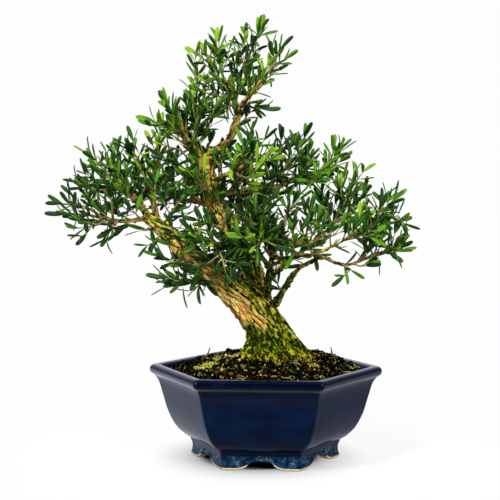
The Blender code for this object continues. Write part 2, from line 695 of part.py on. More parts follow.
class Room:
    """The space already taken, as round-ended rods with an owner each."""

    def __init__(self):
        self.start = np.zeros((0, 3))
        self.end = np.zeros((0, 3))
        self.radius = np.zeros(0)
        self.owner = np.zeros(0, int)

    def take(self, points, radii, owner):
        """Adds a rod between each point and the next."""
        points = np.asarray(points, float)
        radii = np.asarray(radii, float)
        self.start = np.vstack([self.start, points[:-1]])
        self.end = np.vstack([self.end, points[1:]])
        self.radius = np.r_[self.radius, np.maximum(radii[:-1], radii[1:])]
        self.owner = np.r_[self.owner, np.full(len(points) - 1, owner)]

    def clearance(self, points, radius, others):
        """The least gap from these points, fattened by the radius, to the rods picked out by a mask."""
        start, along = self.start[others], (self.end - self.start)[others]
        away = points[:, None] - start
        share = (away * along).sum(-1) / np.maximum((along * along).sum(-1), 1e-9)
        nearest = start + np.clip(share, 0, 1)[..., None] * along
        gaps = np.linalg.norm(points[:, None] - nearest, axis=-1) - self.radius[others] - radius
        return gaps.min() if gaps.size else np.inf


def fits(room, blade, owner):
    """True if the leaf stays clear of other pieces, and doesn't cut far into its own spray's leaves."""
    share = np.linspace(0, 1, 9)[:, None]
    points = np.vstack([blade[0] + (blade[1] - blade[0]) * share, blade[1] + (blade[2] - blade[1]) * share])
    half = LEAF_WIDTH / 2
    if room.clearance(points, half, room.owner != owner) < LEAF_CLEARANCE:
        return False
    beyond_twig = points[6:]
    return room.clearance(beyond_twig, half, room.owner == owner) > -half - MOST_CROSSING


def bent(leaf, attempt):
    """The leaf bent aside and turned on its stalk, further with each attempt."""
    place, direction, upper, length = leaf
    if attempt == 0:
        return leaf
    side = np.cross(direction, upper)
    swing = BEND_STEP * ((attempt + 1) // 2) * (1 if attempt % 2 else -1)
    aside = turned(direction, side, swing)
    lifted = turned(upper, side, swing)
    return place, aside, lifted, length * (1 - BENT_SHORTER_BY * attempt)


def place_leaves():
    """Every spray's twig and the leaves that find room, decided in turn so that no piece crosses another."""
    room = Room()
    trunk_owner = -1
    centres = [centre for centre, _, _, _ in TRUNK_SECTIONS]
    widths = [max(across, deep) * TRUNK_MARGIN for _, across, deep, _ in TRUNK_SECTIONS]
    room.take(centres, widths, trunk_owner)
    for name, (points, _, _, _) in LIMBS.items():
        route = Route(points)
        share = np.linspace(0, 1, 2 * len(points))
        room.take(route.at(share * route.length), limb_radius(name, share), trunk_owner)
    plans = {}
    for number, name in enumerate(SPRAYS):
        room.take(stub_points(name), [TWIG_BASE * STUB_MARGIN] * 2, trunk_owner)
        plans[name] = spray_plan(name)
        room.take(*plans[name][:2], number)
    placed = {}
    for number, (name, (points, radii, leaves)) in enumerate(plans.items()):
        kept = []
        for leaf in leaves:
            for attempt in range(BENDS_TRIED):
                choice = bent(leaf, attempt)
                blade = blade_line(*choice)
                if fits(room, blade, number):
                    room.take(blade, [LEAF_WIDTH / 2] * 3, number)
                    kept.append(choice)
                    break
        placed[name] = (points, radii, kept)
    return placed


def add_leaf(name, leaf, collection):
    """A leaf: an open sheet of a triangle and a square, bent where it is widest, given its thickness."""
    place, direction, upper, length = leaf
    root, wide, tip = blade_line(place, direction, upper, length)
    side = np.cross(upper, direction)
    half = LEAF_WIDTH / 2 * side
    points = [root, wide + half, wide - half, tip - half * TIP_WIDTH_SHARE, tip + half * TIP_WIDTH_SHARE]
    blade = add_mesh(name, points, [(0, 2, 1), (1, 2, 3, 4)], collection)
    sheet = blade.modifiers.new("thickness", "SOLIDIFY")
    sheet.thickness = LEAF_THICKNESS * MM
    sheet.offset = 0.0
    return blade


def build_spray(name, points, radii, leaves, parts, material):
    """One leafy spray: its twig and its leaves, fused."""
    spray = curve_tube("spray_" + name, points, radii, TWIG_SIDES, parts)
    spray.data.materials.clear()
    spray.data.materials.append(material)
    grown = bpy.data.collections.new("grown_" + name)
    bpy.context.scene.collection.children.link(grown)
    for number, leaf in enumerate(leaves):
        add_leaf(f"leaf_{number}", leaf, grown)
    return fuse(spray, grown)


def centre_on_box(pieces):
    """Moves all the pieces so that the origin lies under the middle of their common box."""
    bpy.context.view_layer.update()
    corners = np.array([piece.matrix_world @ vertex.co for piece in pieces for vertex in piece.data.vertices])
    middle = (corners.min(axis=0) + corners.max(axis=0)) / 2
    stand = bpy.data.objects.new("bonsai", None)
    pieces[0].users_collection[0].objects.link(stand)
    for piece in pieces:
        piece.parent = stand
    stand.matrix_world = Matrix.Translation((-middle[0], -middle[1], 0.0))


def main():
    for leftover in list(bpy.data.objects):
        bpy.data.objects.remove(leftover)
    parts = bpy.data.collections.new("boxwood_bonsai")
    helpers = bpy.data.collections.new("cutters")
    bpy.context.scene.collection.children.link(parts)
    bpy.context.scene.collection.children.link(helpers)
    pieces = [build_pot(parts, helpers), build_screen(parts)]
    trunk_cutter = as_helper(trunk_loft("trunk_cutter", 2 * GAP, helpers, last=BURIED_SECTIONS))
    helpers.objects.unlink(trunk_cutter)
    pieces.append(build_soil(parts, helpers, trunk_cutter))
    pieces.append(build_trunk(parts))
    foliage = make_material("foliage")
    for name, (points, radii, leaves) in place_leaves().items():
        pieces.append(build_spray(name, points, radii, leaves, parts, foliage))
    centre_on_box(pieces)


main()
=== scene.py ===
"""A boxwood bonsai in its glazed six-sided pot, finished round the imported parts.

Lengths in the tables are millimetres from the middle of the pot's foot. X runs to the right, Y away from
the viewer and Z up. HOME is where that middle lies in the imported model.
"""

import bpy
import numpy as np
from bpy.props import FloatProperty, FloatVectorProperty, IntProperty
from mathutils import Matrix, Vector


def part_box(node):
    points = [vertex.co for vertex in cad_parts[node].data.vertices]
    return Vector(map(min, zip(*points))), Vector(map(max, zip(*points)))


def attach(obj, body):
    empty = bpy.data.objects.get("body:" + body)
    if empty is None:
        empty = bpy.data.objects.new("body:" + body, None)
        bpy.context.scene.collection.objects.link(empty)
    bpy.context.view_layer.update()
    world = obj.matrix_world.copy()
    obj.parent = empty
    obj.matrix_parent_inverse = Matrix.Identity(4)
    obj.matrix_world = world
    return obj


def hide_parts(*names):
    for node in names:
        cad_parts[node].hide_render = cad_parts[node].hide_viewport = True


bl_info = {
    "name": "Boxwood bonsai",
    "version": (1, 0, 0),
    "blender": (4, 5, 0),
    "location": "View3D > Sidebar > Bonsai",
    "description": "Builds a boxwood bonsai's pot, soil, bark, moss and leaves round its packed parts",
    "category": "Object",
}

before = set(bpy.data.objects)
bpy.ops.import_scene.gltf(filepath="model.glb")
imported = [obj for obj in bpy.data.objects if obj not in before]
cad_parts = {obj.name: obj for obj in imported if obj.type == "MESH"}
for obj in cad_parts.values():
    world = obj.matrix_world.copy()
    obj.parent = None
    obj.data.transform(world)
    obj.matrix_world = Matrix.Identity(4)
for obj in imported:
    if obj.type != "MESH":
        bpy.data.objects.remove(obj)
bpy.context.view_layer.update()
MM = 0.001
POT_LOW, POT_HIGH = (np.array(corner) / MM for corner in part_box("pot"))
HOME = np.array((*((POT_LOW + POT_HIGH) / 2)[:2], 0.0))
BODY = "root"
SEED = 41

POT_SIDES = 6
FLOOR_TOP = 20.0
RECESS_TOP = 10.5
# The pot's closed section: corner radius, height, and roundness, 0 for six-sided and 1 for round
POT_SECTION = [
    (10.5, FLOOR_TOP, 1), (13, FLOOR_TOP, 1), (40, FLOOR_TOP, 0.3), (57, FLOOR_TOP, 0),
    (60.0, 20.2, 0), (66, 22.8, 0), (72.0, 27.0, 0), (76.6, 32.6, 0), (80.0, 39.0, 0), (82.9, 46, 0),
    (85.0, 54.0, 0), (87, 62, 0), (88.5, 69.0, 0), (90.4, 75, 0), (92.0, 78.6, 0), (93.4, 80.6, 0),
    (95.6, 81.7, 0), (98.6, 82.0, 0), (101.4, 81.9, 0), (103.6, 81.0, 0), (104.9, 79.3, 0),
    (105.2, 77.4, 0), (104.8, 75.6, 0), (103.6, 74.2, 0), (101.8, 73.1, 0), (100.2, 71.8, 0),
    (98.6, 69.8, 0), (96.9, 67, 0), (95.5, 63.0, 0), (94.1, 58, 0), (92.6, 53.0, 0), (91.2, 48, 0),
    (89.7, 43.0, 0), (88.2, 39, 0), (86.3, 35.0, 0), (84.2, 31, 0), (81.8, 27.3, 0), (78.6, 23.6, 0),
    (75.4, 20.8, 0), (72.6, 18.6, 0), (70.2, 17.2, 0), (68.4, 16.2, 0), (67.6, 15.0, 0), (67.6, 13.9, 0),
    (66.9, 13.2, 0), (66.3, 11.6, 0), (66.0, 9.4, 0), (66.1, 7.0, 0), (66.6, 4.8, 0), (67.2, 3.0, 0),
    (67.2, 1.6, 0), (66.7, 0.6, 0), (65.9, 0.1, 0), (64.5, 0.0, 0), (60, 0.0, 0), (58, 0.0, 0),
    (57.2, 0.3, 0), (56.9, 1.0, 0), (56.2, 5, 0), (55.3, 9, 0), (53.5, 10.3, 0), (50, RECESS_TOP, 0.1),
    (30, RECESS_TOP, 0.6), (13, RECESS_TOP, 1), (10.5, RECESS_TOP, 1), (10, 11.2, 1), (10, 19.3, 1),
]
# How round the corners are, by corner radius
CORNER_ROUNDING = [(0, 8), (60, 3.5), (68, 3.2), (90, 4.5), (100, 4.0), (106, 4.5)]
STEPS_ON_SIDE = 44
STEPS_ON_CORNER = 7
SECTION_STEP = 4.0
# The rolled lip: above this height and outside this corner radius
LIP_HEIGHT = 72.5
LIP_RADIUS = 92
# The foot: its inside and top; so far from a side's middle its clay is bare, up to where the glaze ends
FOOT_INSIDE = 54
ARCH_TOP_OF_FOOT = 13.2
BARE_FROM_MIDDLE = 11
GLAZE_ENDS_BELOW = 1.9
# Height of the arch between two feet, by the distance from the side's middle
ARCH_OUTLINE = [
    (0.0, 8.3), (2.6, 7.9), (5.0, 7.7), (7.4, 7.6), (8.6, 7.1), (9.6, 6.1), (10.8, 4.7), (12.4, 3.2),
    (14.4, 1.9), (16.8, 0.9), (19.4, 0.3), (22.0, 0.0), (60.0, 0.0),
]

# Grooves round the foot, as heights; the glaze is painted dark along them as shade
FOOT_GROOVE = 13.6
WAIST_GROOVE = 16.4

# Soil: height at the wall and on the mound, and the mound's middle and reach
SOIL_EDGE = 79.3
SOIL_PEAK = 91.5
MOUND_CENTRE = (6.0, 22.0)
MOUND_REACH = 80.0
# Its top's corner radius and rings, how far its crumbs sink in, the corner radius that what is strewn stays
# within, and corner radius and height down the pot's wall
SOIL_RADIUS = 90.2
SOIL_RINGS = 96
CRUMBS_SINK = 1.2
STREWN_WITHIN = 88.0
SOIL_WALL = [(87.6, 69.0), (84.1, 54.0), (79.1, 39.0), (71.2, 27.5), (60.0, 21.8)]
# Where the trunk stands on the soil: middle and half size
TRUNK_FOOT = (13, 6), (31, 25)
# Moss on the soil: middle, reach, and how dry it is; and round the roots: middle and half size
SOIL_MOSS = [((-51, -14), 11.0, 0.35), ((-30, 5), 8.0, 0.85), ((-42, 6), 7.0, 0.7), ((44, -22), 7.0, 0.6)]
ROOT_MOSS = (10.0, 5.0, 41.0, 35.0)
# Crumbs and coloured grit: shape and scale of the spread of their radii, the largest radius, and how far each
# is lifted: so much, and so much for each millimetre of its radius
CRUMBS = (4.0, 0.23), 2.8, (0.3, 0.2)
GRAINS = (6.0, 0.17), 2.2, (1.0, 0.3)
SMALLEST_GRAIN = 0.45
# Bits of twig that lie about, and those that stand up at the back and front: place, and how far they run
LYING_BITS = 46
STANDING_BITS = [(-57, 38, (3, 0, 9)), (61, 30, (-2, 1, 10)), (58, 33, (6, 0, 4)), (-14, -38, (-5, -2, 5))]

# Trunk and left limb: centre, half width across, half depth, lean in degrees
BOLE_SECTIONS = [
    ((12, 7, 66), 24, 21, 0), ((12, 7, 78), 30, 26, 0), ((10, 6.5, 87), 31.5, 27.5, 0),
    ((8.2, 5.5, 92), 29.2, 26, 3), ((5.8, 5, 97), 25.4, 23.5, 6), ((3.6, 3, 106), 20.4, 19, 13),
    ((-0.8, 2, 118), 17.2, 16.5, 26), ((-9, 0, 130), 17, 16, 38), ((-17, -2, 141), 16.5, 15.4, 45),
    ((-29, -4, 151), 14.2, 13.6, 51), ((-43, -7, 162), 11.6, 11.4, 54), ((-58, -9.6, 174), 9.9, 9.7, 52),
    ((-72, -10, 185), 8.8, 8.6, 48), ((-84, -8, 198), 7.6, 7.6, 46), ((-96, -6.2, 207.5), 6.4, 6.4, 50),
    ((-104, -4.6, 213.6), 5.2, 5.2, 52), ((-108, -3.8, 217), 3.6, 3.6, 52),
]
SOIL_LINE = 90.0
BOLE_ROWS = BOLE_SIDES = 300
# Its bark: how many plates or sinews go round it, and how long they are
PLATES = 26, 15.0
SINEWS = 40, 24.0
# Moss stems grow on it above the first height and thin out between the other two
MOSS_STEMS = 84, 118, 170
# Shaded places on it: middle and half size
FORK = (-17, 2, 160), (9, 18, 9)
LEDGE = (-9, -14, 109), (12, 14, 10)
# Where its bark has just flaked off, and where under the ledge its moss stays green and is painted darker as
# shade: middle and reach
FLAKED_LOW = (-2.7, -13, 121.5), 9.5
FLAKED_HIGH = (-13, -14, 130), 11
GREEN_IN_SHADE = (-9, -14, 110), 13

# Limbs: route, radius at its start and end
LIMBS = {
    "leader": (
        [(-3, 4, 136), (-9, 10, 154), (-14, 14, 170), (-21, 16, 184), (-30, 17, 195), (-38, 17, 208),
         (-45, 16, 223), (-50, 14, 239), (-53, 12, 255), (-55, 10, 269)],
        11.0, 6.0,
    ),
    "left_reach": (
        [(-100, -4, 210), (-110, -6, 213), (-123, -8, 211), (-137, -9, 212), (-151, -8, 215)], 2.6, 1.6,
    ),
    "left_rise": (
        [(-103, -4, 213), (-113, 2, 226), (-124, 8, 236), (-136, 12, 242), (-149, 14, 248)], 4.0, 1.8,
    ),
    "left_crown": ([(-97, -5, 209), (-101, 4, 227), (-108, 12, 245), (-113, 18, 259)], 3.6, 1.8),
    "shoulder": ([(-55, 10, 268), (-63, 8, 275), (-71, 5, 283), (-75, 2, 294), (-76, 0, 302)], 4.5, 2.0),
    "apex_stem": (
        [(-54, 10, 266), (-46, 10, 274), (-38, 8, 279), (-31, 6, 287), (-27, 5, 297), (-25, 5, 307),
         (-28, 6, 319), (-33, 7, 331), (-38, 8, 339)],
        4.4, 2.3,
    ),
    "apex_right": ([(-25, 5, 308), (-20, 0, 316), (-13, -4, 323), (-7, -7, 330), (0, -8, 338)], 2.4, 1.5),
    "apex_tip": ([(-33, 7, 332), (-26, 6, 340), (-20, 5, 347), (-16, 4, 355)], 2.2, 1.4),
    "right_stem": (
        [(3, -4, 141), (3, -10, 156), (5, -14, 170), (8, -16, 183), (12, -16, 197), (17, -15, 209)], 3.6, 2.2,
    ),
    "right_low": (
        [(9, -4, 137), (16, -10, 148), (23, -15, 160), (31, -20, 170), (41, -24, 176), (51, -27, 180),
         (62, -30, 176), (73, -32, 174), (85, -33, 178), (97, -34, 184)],
        3.6, 1.5,
    ),
    "right_mid": (
        [(11, -16, 189), (19, -6, 194), (29, 4, 192), (39, 14, 191), (49, 22, 197), (58, 28, 205),
         (65, 32, 213)],
        2.8, 1.8,
    ),
    "right_far": (
        [(7, -16, 180), (20, -24, 179), (34, -32, 182), (46, -38, 184), (55, -42, 188), (65, -46, 193),
         (73, -48, 198), (81, -50, 204)],
        2.4, 1.5,
    ),
    "upper_right": (
        [(-47, 15, 234), (-32, 22, 237), (-14, 28, 239), (5, 32, 241), (21, 36, 247), (36, 38, 251),
         (50, 40, 255)],
        3.2, 1.6,
    ),
    "upper_mid": ([(-52, 13, 246), (-36, 4, 252), (-24, -4, 257), (-13, -10, 265)], 2.4, 1.6),
    "front_limb": (
        [(-21, 16, 183), (-26, -2, 189), (-32, -18, 192), (-39, -32, 192), (-48, -44, 195)], 3.4, 1.6,
    ),
    "front_mid": ([(5, -14, 170), (-1, -30, 181), (-5, -44, 191), (-6, -56, 199)], 2.4, 1.5),
    "back_limb": ([(-35, 17, 201), (-29, 38, 210), (-22, 58, 217), (-13, 76, 223)], 3.8, 1.8),
    "back_left": ([(-47, 16, 226), (-60, 34, 228), (-74, 52, 230), (-90, 66, 232)], 3.4, 1.8),
    "back_low": ([(-3, 10, 149), (5, 30, 160), (15, 50, 170), (26, 66, 179)], 3.4, 1.8),
}
# Every line that carries leaves: the limbs, and the left limb, which is part of the trunk's own surface
CARRIERS = {
    "left_limb": (
        [(-6, 0, 138), (-26, -4, 152), (-45, -8, 164), (-60, -10, 176), (-72, -10, 185), (-84, -8, 198),
         (-97, -6, 208), (-107, -4, 216)],
        15.5, 4.5,
    ),
    **LIMBS,
}
TAPER = 0.8
# Limbs that swell or thin: between which shares along them, and by how much
LIMB_SWELLS = {
    "leader": (0.45, 0.85, 0.30), "right_low": (0.20, 0.42, -0.34), "right_far": (0.15, 0.50, -0.34),
    "right_mid": (0.20, 0.55, -0.26), "left_reach": (0.10, 0.60, -0.15),
}

# Leafy sprays: limb, share along it, points that the twig leads through, and how young its growth is
SPRAYS = {
    "left_tip": ("left_reach", 1.0, [(-162, -8, 217), (-181, -6, 217)], 0.0),
    "left_under": ("left_reach", 0.8, [(-151, -18, 207), (-164, -24, 205)], 0.0),
    "left_hang": ("left_reach", 0.62, [(-137, -16, 203), (-140, -20, 195)], 0.1),
    "left_up": ("left_reach", 0.7, [(-135, -16, 223), (-136, -20, 239)], 0.1),
    "left_fan": ("left_rise", 1.0, [(-160, 8, 239), (-170, 4, 246)], 0.1),
    "left_high": ("left_rise", 0.78, [(-149, 16, 258), (-162, 16, 272)], 0.4),
    "left_peak": ("left_rise", 0.55, [(-135, 22, 256), (-139, 26, 275)], 0.3),
    "crown_end": ("left_crown", 1.0, [(-120, 20, 271), (-128, 20, 280)], 0.3),
    "crown_bright": ("left_crown", 0.75, [(-99, 8, 259), (-95, 0, 277), (-94, -4, 294)], 0.9),
    "limb_twig": ("left_limb", 0.86, [(-81, -20, 219), (-75, -24, 227), (-69, -26, 235)], 0.0),
    "shoulder_end": ("shoulder", 1.0, [(-82, -2, 308), (-87, -4, 316)], 0.3),
    "shoulder_left": ("shoulder", 0.72, [(-85, -12, 294), (-96, -18, 299)], 0.2),
    "shoulder_shoot": ("shoulder", 0.6, [(-66, 14, 303), (-63, 12, 325), (-64, 8, 356)], 0.8),
    "shoulder_right": ("shoulder", 0.45, [(-53, -4, 299), (-43, -8, 312)], 0.4),
    "shoulder_back": ("shoulder", 0.42, [(-74, 26, 287), (-86, 42, 296)], 0.1),
    "apex_left": ("apex_stem", 1.0, [(-41, 8, 354), (-42, 8, 372)], 0.5),
    "apex_side": ("apex_stem", 0.93, [(-47, 0, 342), (-52, -4, 357)], 0.5),
    "apex_main": ("apex_tip", 1.0, [(-12, 4, 365), (-7, 3, 379)], 0.4),
    "apex_far": ("apex_right", 1.0, [(7, -8, 348), (14, -8, 362)], 0.3),
    "apex_hook": ("apex_right", 0.3, [(-12, 2, 313), (-2, 2, 311)], 0.3),
    "apex_back": ("apex_stem", 0.84, [(-26, 20, 328), (-19, 30, 338)], 0.2),
    "mid_end": ("upper_mid", 1.0, [(-11, -12, 274), (-12, -14, 286)], 0.1),
    "mid_bright": ("upper_mid", 0.55, [(-12, -22, 249), (-5, -30, 261)], 1.0),
    "upper_shoot": ("upper_right", 0.62, [(9, 34, 262), (13, 32, 285)], 0.1),
    "upper_tall": ("upper_right", 0.8, [(29, 40, 267), (34, 40, 288)], 0.1),
    "upper_end": ("upper_right", 1.0, [(61, 40, 261), (68, 40, 275)], 0.3),
    "upper_back": ("upper_right", 0.36, [(-23, 48, 253), (-27, 60, 268)], 0.1),
    "ruff_top": ("right_mid", 1.0, [(70, 34, 226), (69, 34, 249)], 0.5),
    "ruff_left": ("right_mid", 0.84, [(54, 36, 221), (50, 44, 235)], 0.3),
    "ruff_right": ("right_mid", 0.9, [(76, 20, 221), (87, 14, 235)], 0.2),
    "mid_leafy": ("right_mid", 0.5, [(37, -2, 205), (40, -8, 219)], 0.2),
    "far_tip": ("right_far", 1.0, [(93, -50, 213), (103, -50, 222), (111, -50, 230)], 0.1),
    "far_side": ("right_far", 0.84, [(88, -58, 201), (101, -62, 208)], 0.1),
    "low_tip": ("right_low", 1.0, [(107, -34, 186), (118, -34, 189)], 0.3),
    "low_up": ("right_low", 0.88, [(91, -24, 190), (100, -18, 202)], 0.4),
    "low_hang": ("right_low", 0.74, [(74, -36, 170), (70, -40, 165)], 0.1),
    "low_sprig": ("right_low", 0.14, [(14, -22, 153), (10, -28, 163)], 0.0),
    "stem_end": ("right_stem", 1.0, [(21, -15, 219), (29, -16, 232)], 0.2),
    "stem_front": ("right_stem", 0.72, [(5, -32, 200), (2, -44, 213)], 0.1),
    "front_end": ("front_limb", 1.0, [(-56, -52, 201), (-62, -58, 205)], 0.0),
    "front_low": ("front_limb", 0.6, [(-44, -34, 179), (-56, -46, 173)], 0.0),
    "front_star": ("front_limb", 0.45, [(-28, -36, 181), (-24, -50, 175)], 0.1),
    "centre_end": ("front_mid", 1.0, [(-7, -62, 209), (-9, -66, 219)], 0.2),
    "limb_low": ("left_limb", 0.52, [(-69, -28, 176), (-81, -34, 176), (-90, -38, 181)], 0.2),
    "limb_under": ("left_limb", 0.36, [(-62, -26, 159), (-74, -34, 159), (-84, -38, 162)], 0.2),
    "leader_left": ("leader", 0.52, [(-53, -4, 210), (-58, -16, 212)], 0.2),
    "leader_bright": ("leader", 0.78, [(-58, -2, 241), (-63, -12, 251)], 0.8),
    "back_end": ("back_limb", 1.0, [(-8, 88, 231), (-1, 96, 238)], 0.2),
    "back_left_end": ("back_left", 1.0, [(-103, 76, 234), (-116, 84, 240)], 0.2),
    "back_low_end": ("back_low", 1.0, [(37, 76, 184), (48, 84, 189)], 0.1),
    "back_rise": ("back_limb", 0.6, [(-34, 58, 226), (-42, 64, 238)], 0.2),
    "back_left_rise": ("back_left", 0.55, [(-66, 54, 242), (-62, 62, 255)], 0.3),
    "back_high": ("leader", 0.88, [(-48, 34, 262), (-42, 48, 276)], 0.2),
}

# More sprays, told the same way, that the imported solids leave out
EXTRA_SPRAYS = {
    "left_fork": ("left_limb", 0.96, [(-101, -16, 204), (-109, -20, 203)], 0.0),
    "left_below": ("left_limb", 0.88, [(-93, -20, 196), (-102, -24, 190)], 0.0),
    "left_mid": ("left_rise", 0.7, [(-147, 0, 239), (-164, -6, 241)], 0.1),
    "left_outer": ("left_reach", 0.85, [(-161, -10, 224), (-180, -16, 227)], 0.1),
    "left_inner": ("left_rise", 0.35, [(-123, -6, 234), (-130, -14, 249)], 0.3),
    "neck_low": ("leader", 0.62, [(-76, -2, 262), (-90, -10, 267)], 0.2),
    "neck_mid": ("leader", 0.74, [(-73, 4, 271), (-87, -4, 278)], 0.4),
    "neck_front": ("leader", 0.68, [(-64, -12, 255), (-73, -22, 247)], 0.0),
    "neck_back": ("left_crown", 0.6, [(-93, 20, 250), (-85, 26, 267)], 0.1),
    "apex_inner": ("apex_stem", 0.86, [(-40, 0, 322), (-55, -6, 326)], 0.4),
    "apex_low": ("apex_stem", 0.72, [(-40, 12, 311), (-53, 14, 310)], 0.2),
    "apex_lace": ("shoulder", 0.3, [(-62, -2, 297), (-54, -6, 317)], 0.3),
    "limb_drop": ("left_limb", 0.3, [(-55, -30, 156), (-65, -34, 146)], 0.1),
    "limb_drop_far": ("left_limb", 0.42, [(-69, -28, 156), (-84, -32, 155)], 0.1),
    "limb_front": ("left_limb", 0.62, [(-74, -30, 195), (-80, -38, 206)], 0.0),
    "right_end_low": ("right_far", 0.9, [(111, -52, 216), (119, -56, 210)], 0.2),
    "right_end_mid": ("right_low", 0.92, [(111, -36, 187), (121, -40, 199)], 0.3),
    "ruff_far": ("right_mid", 0.96, [(78, 24, 241), (87, 18, 255)], 0.5),
    "crown_right": ("upper_right", 0.9, [(58, 30, 262), (67, 26, 276)], 0.3),
    "crown_mid": ("upper_right", 0.5, [(18, 20, 261), (27, 14, 275)], 0.3),
    "crown_low": ("upper_right", 0.7, [(40, 24, 247), (47, 12, 255)], 0.1),
    "star_front": ("front_limb", 0.8, [(-33, -56, 181), (-29, -66, 169)], 0.0),
    "star_right": ("front_mid", 0.7, [(1, -56, 196), (13, -62, 191)], 0.1),
    "star_low": ("front_limb", 0.3, [(-21, -34, 176), (-14, -44, 163)], 0.0),
    "centre_low": ("front_mid", 0.5, [(-12, -46, 185), (-18, -54, 174)], 0.0),
    "centre_right": ("right_far", 0.35, [(26, -44, 189), (33, -54, 203)], 0.2),
    "centre_up": ("front_mid", 0.9, [(1, -62, 217), (10, -64, 230)], 0.2),
}
ALL_SPRAYS = {**SPRAYS, **EXTRA_SPRAYS}

# How many side twigs a spray has where it isn't one for each centimetre
SIDE_TWIGS = {
    "mid_bright": 0, "low_hang": 0, "low_sprig": 0, "leader_left": 1, "limb_twig": 1, "left_hang": 1,
    "apex_hook": 1, "left_fork": 0, "left_below": 0, "limb_drop": 1, "limb_drop_far": 1, "star_low": 1,
    "left_up": 2,
}

# Shoots that sprout straight from a limb: limb, first and last share along it, how many, length
SHOOTS = [
    ("leader", 0.38, 1.0, 16, 25), ("left_reach", 0.2, 1.0, 9, 20), ("left_rise", 0.15, 1.0, 13, 24),
    ("left_crown", 0.15, 1.0, 13, 26), ("shoulder", 0.0, 1.0, 13, 24), ("apex_stem", 0.35, 1.0, 12, 20),
    ("apex_right", 0.1, 1.0, 10, 16), ("apex_tip", 0.2, 1.0, 5, 20), ("right_stem", 0.45, 1.0, 9, 26),
    ("right_low", 0.80, 1.0, 5, 18), ("right_mid", 0.45, 1.0, 12, 24), ("right_far", 0.6, 1.0, 7, 20),
    ("upper_right", 0.1, 0.92, 20, 26), ("upper_mid", 0.3, 1.0, 10, 26), ("front_limb", 0.35, 1.0, 11, 24),
    ("front_mid", 0.35, 1.0, 11, 26), ("back_limb", 0.3, 1.0, 13, 28), ("back_left", 0.3, 1.0, 11, 28),
    ("back_low", 0.4, 1.0, 9, 24),
]
# Wood of a spray's twig, its side twigs, a limb's shoots and their branches: radius at base and tip
TWIG_RADII = (1.35, 0.5)
SIDE_RADII = (0.7, 0.4)
SHOOT_RADII = (0.9, 0.42)
BRANCH_RADII = (0.6, 0.4)
SIDE_LENGTH = 17
BRANCH_LENGTH = 13
# How far round its line each side twig stands from the last, in radians
SPIRAL = 2.4

# Leaf pairs: distance between two, then how far the first, second and so on from the tip open, in radians,
# and how large they are
PAIR_SPACING = 7.2
OPENING = (0.42, 1.0, 1.30, 1.46, 1.54)
TIP_SIZES = (0.84, 0.96, 1.0, 1.0)
# Numbers that tell one leaf: root, direction, upper side, length share, arch, cup, tone and youth
LEAF_NUMBERS = 14
HALF_LEAF = 8

# Camera: degrees to the right and up, the point that it looks at, across and up, its focal length and the
# picture's width in pixels, and its sensor's width in millimetres
VIEW_TURN = 4.26
VIEW_RISE = 2.3
AIM = (-13.4, 185.3)
FOCAL_LENGTH = 1062
PICTURE_WIDTH = 500
SENSOR_WIDTH = 36.0

# Floor: its rings in metres, and its sides
FLOOR_RADII = (0.02, 0.3, 0.8, 2, 5, 10)
FLOOR_SIDES = 96
# Its glow, with a painted shadow round the pot: the middle, how bright it is so many millimetres from
# there, where that table ends, and far off
GLOW_MIDDLE = (-5, 0, 0)
SHADE_ROUND_POT = [(49, 0.0), (57, 0.41), (66, 0.58), (76, 0.71), (88, 0.82), (100, 0.875)]
SHADE_REACH = 125
FAR_PAPER = (0.980, 0.980, 0.982)
# How bright the horizon is, and how much brighter than the room gloss sees the far wall
HORIZON = 0.983
FAR_WALL = 2.2
# Lamps: name, kind, setting of their strength, place in metres, how wide, and which rays miss them
LAMPS = [
    ("main_light", "SUN", "key", (-0.60, -0.80, 1.05), 0.16, "visible_glossy"),
    ("fill_light", "SUN", "fill", (0.60, -0.85, 0.62), 0.20, "visible_glossy"),
    ("top_light", "SUN", "top", (0.05, 0.35, 1.2), 0.5, "visible_glossy"),
    ("glint", "AREA", "glint", (-0.85, -0.75, 0.85), 0.15, "visible_diffuse"),
    ("glint", "AREA", "glint", (0.95, -0.62, 0.85), 0.15, "visible_diffuse"),
]
LAMP_AIM = (0, 0, 0.08)

# Limbs kept in sight from the front: limb, share along it from and to, and how wide a strip is kept clear but
# for this share of the leaves
LEFT_IN_FRONT = 0.12
IN_SIGHT = [
    ("leader", 0.62, 0.99, 8.0), ("leader", 0.50, 0.62, 4.0), ("left_limb", 0.20, 0.62, 5.0),
    ("left_limb", 0.62, 0.98, 4.0), ("right_low", 0.15, 0.85, 4.0), ("right_stem", 0.15, 0.65, 4.0),
]
# Places kept open in the crown, as seen from the front: middle and half size, across and up
CLEARINGS = [
    ((-66, 219), (13, 16)), ((67, 196), (12, 8)), ((80, 157), (24, 12)), ((131, 205), (9, 15)),
    ((-103, 311), (16, 12)), ((-78, 283), (6, 7)), ((48, 163), (14, 8)), ((-29, 298), (7, 10)),
    ((-62, 140), (24, 8)), ((2, 303), (9, 9)),
]

# A leaf's outline: share along it and half its width as a share of the widest
LEAF_OUTLINE = [
    (0.0, 0.10), (0.09, 0.28), (0.25, 0.66), (0.44, 0.92), (0.64, 1.0), (0.84, 0.90), (0.96, 0.54),
]
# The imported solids' leaves: pairs, leaves and spacing; and how far a stub reaches out of its limb
CAD_PAIRS = 4
CAD_LEAVES = 7
CAD_PAIR_SPACING = 7.5
STUB_REACH = 4.5
# How far leaves lean skyward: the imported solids' own, and all others
SKYWARD = 0.30
SKYWARD_OTHERS = 0.12


def unit(vector):
    """The vector, or each row of them, at length one."""
    vector = np.asarray(vector, float)
    return vector / np.maximum(np.linalg.norm(vector, axis=-1, keepdims=True), 1e-12)


def smooth(low, high, value):
    """0 below low and 1 above high, with a smooth step between."""
    share = np.clip((value - low) / (high - low), 0, 1)
    return share * share * (3 - 2 * share)


def round_turn(sides):
    """The angles of so many sides round a circle, as one row."""
    return np.linspace(0, 2 * np.pi, sides, endpoint=False)[None]


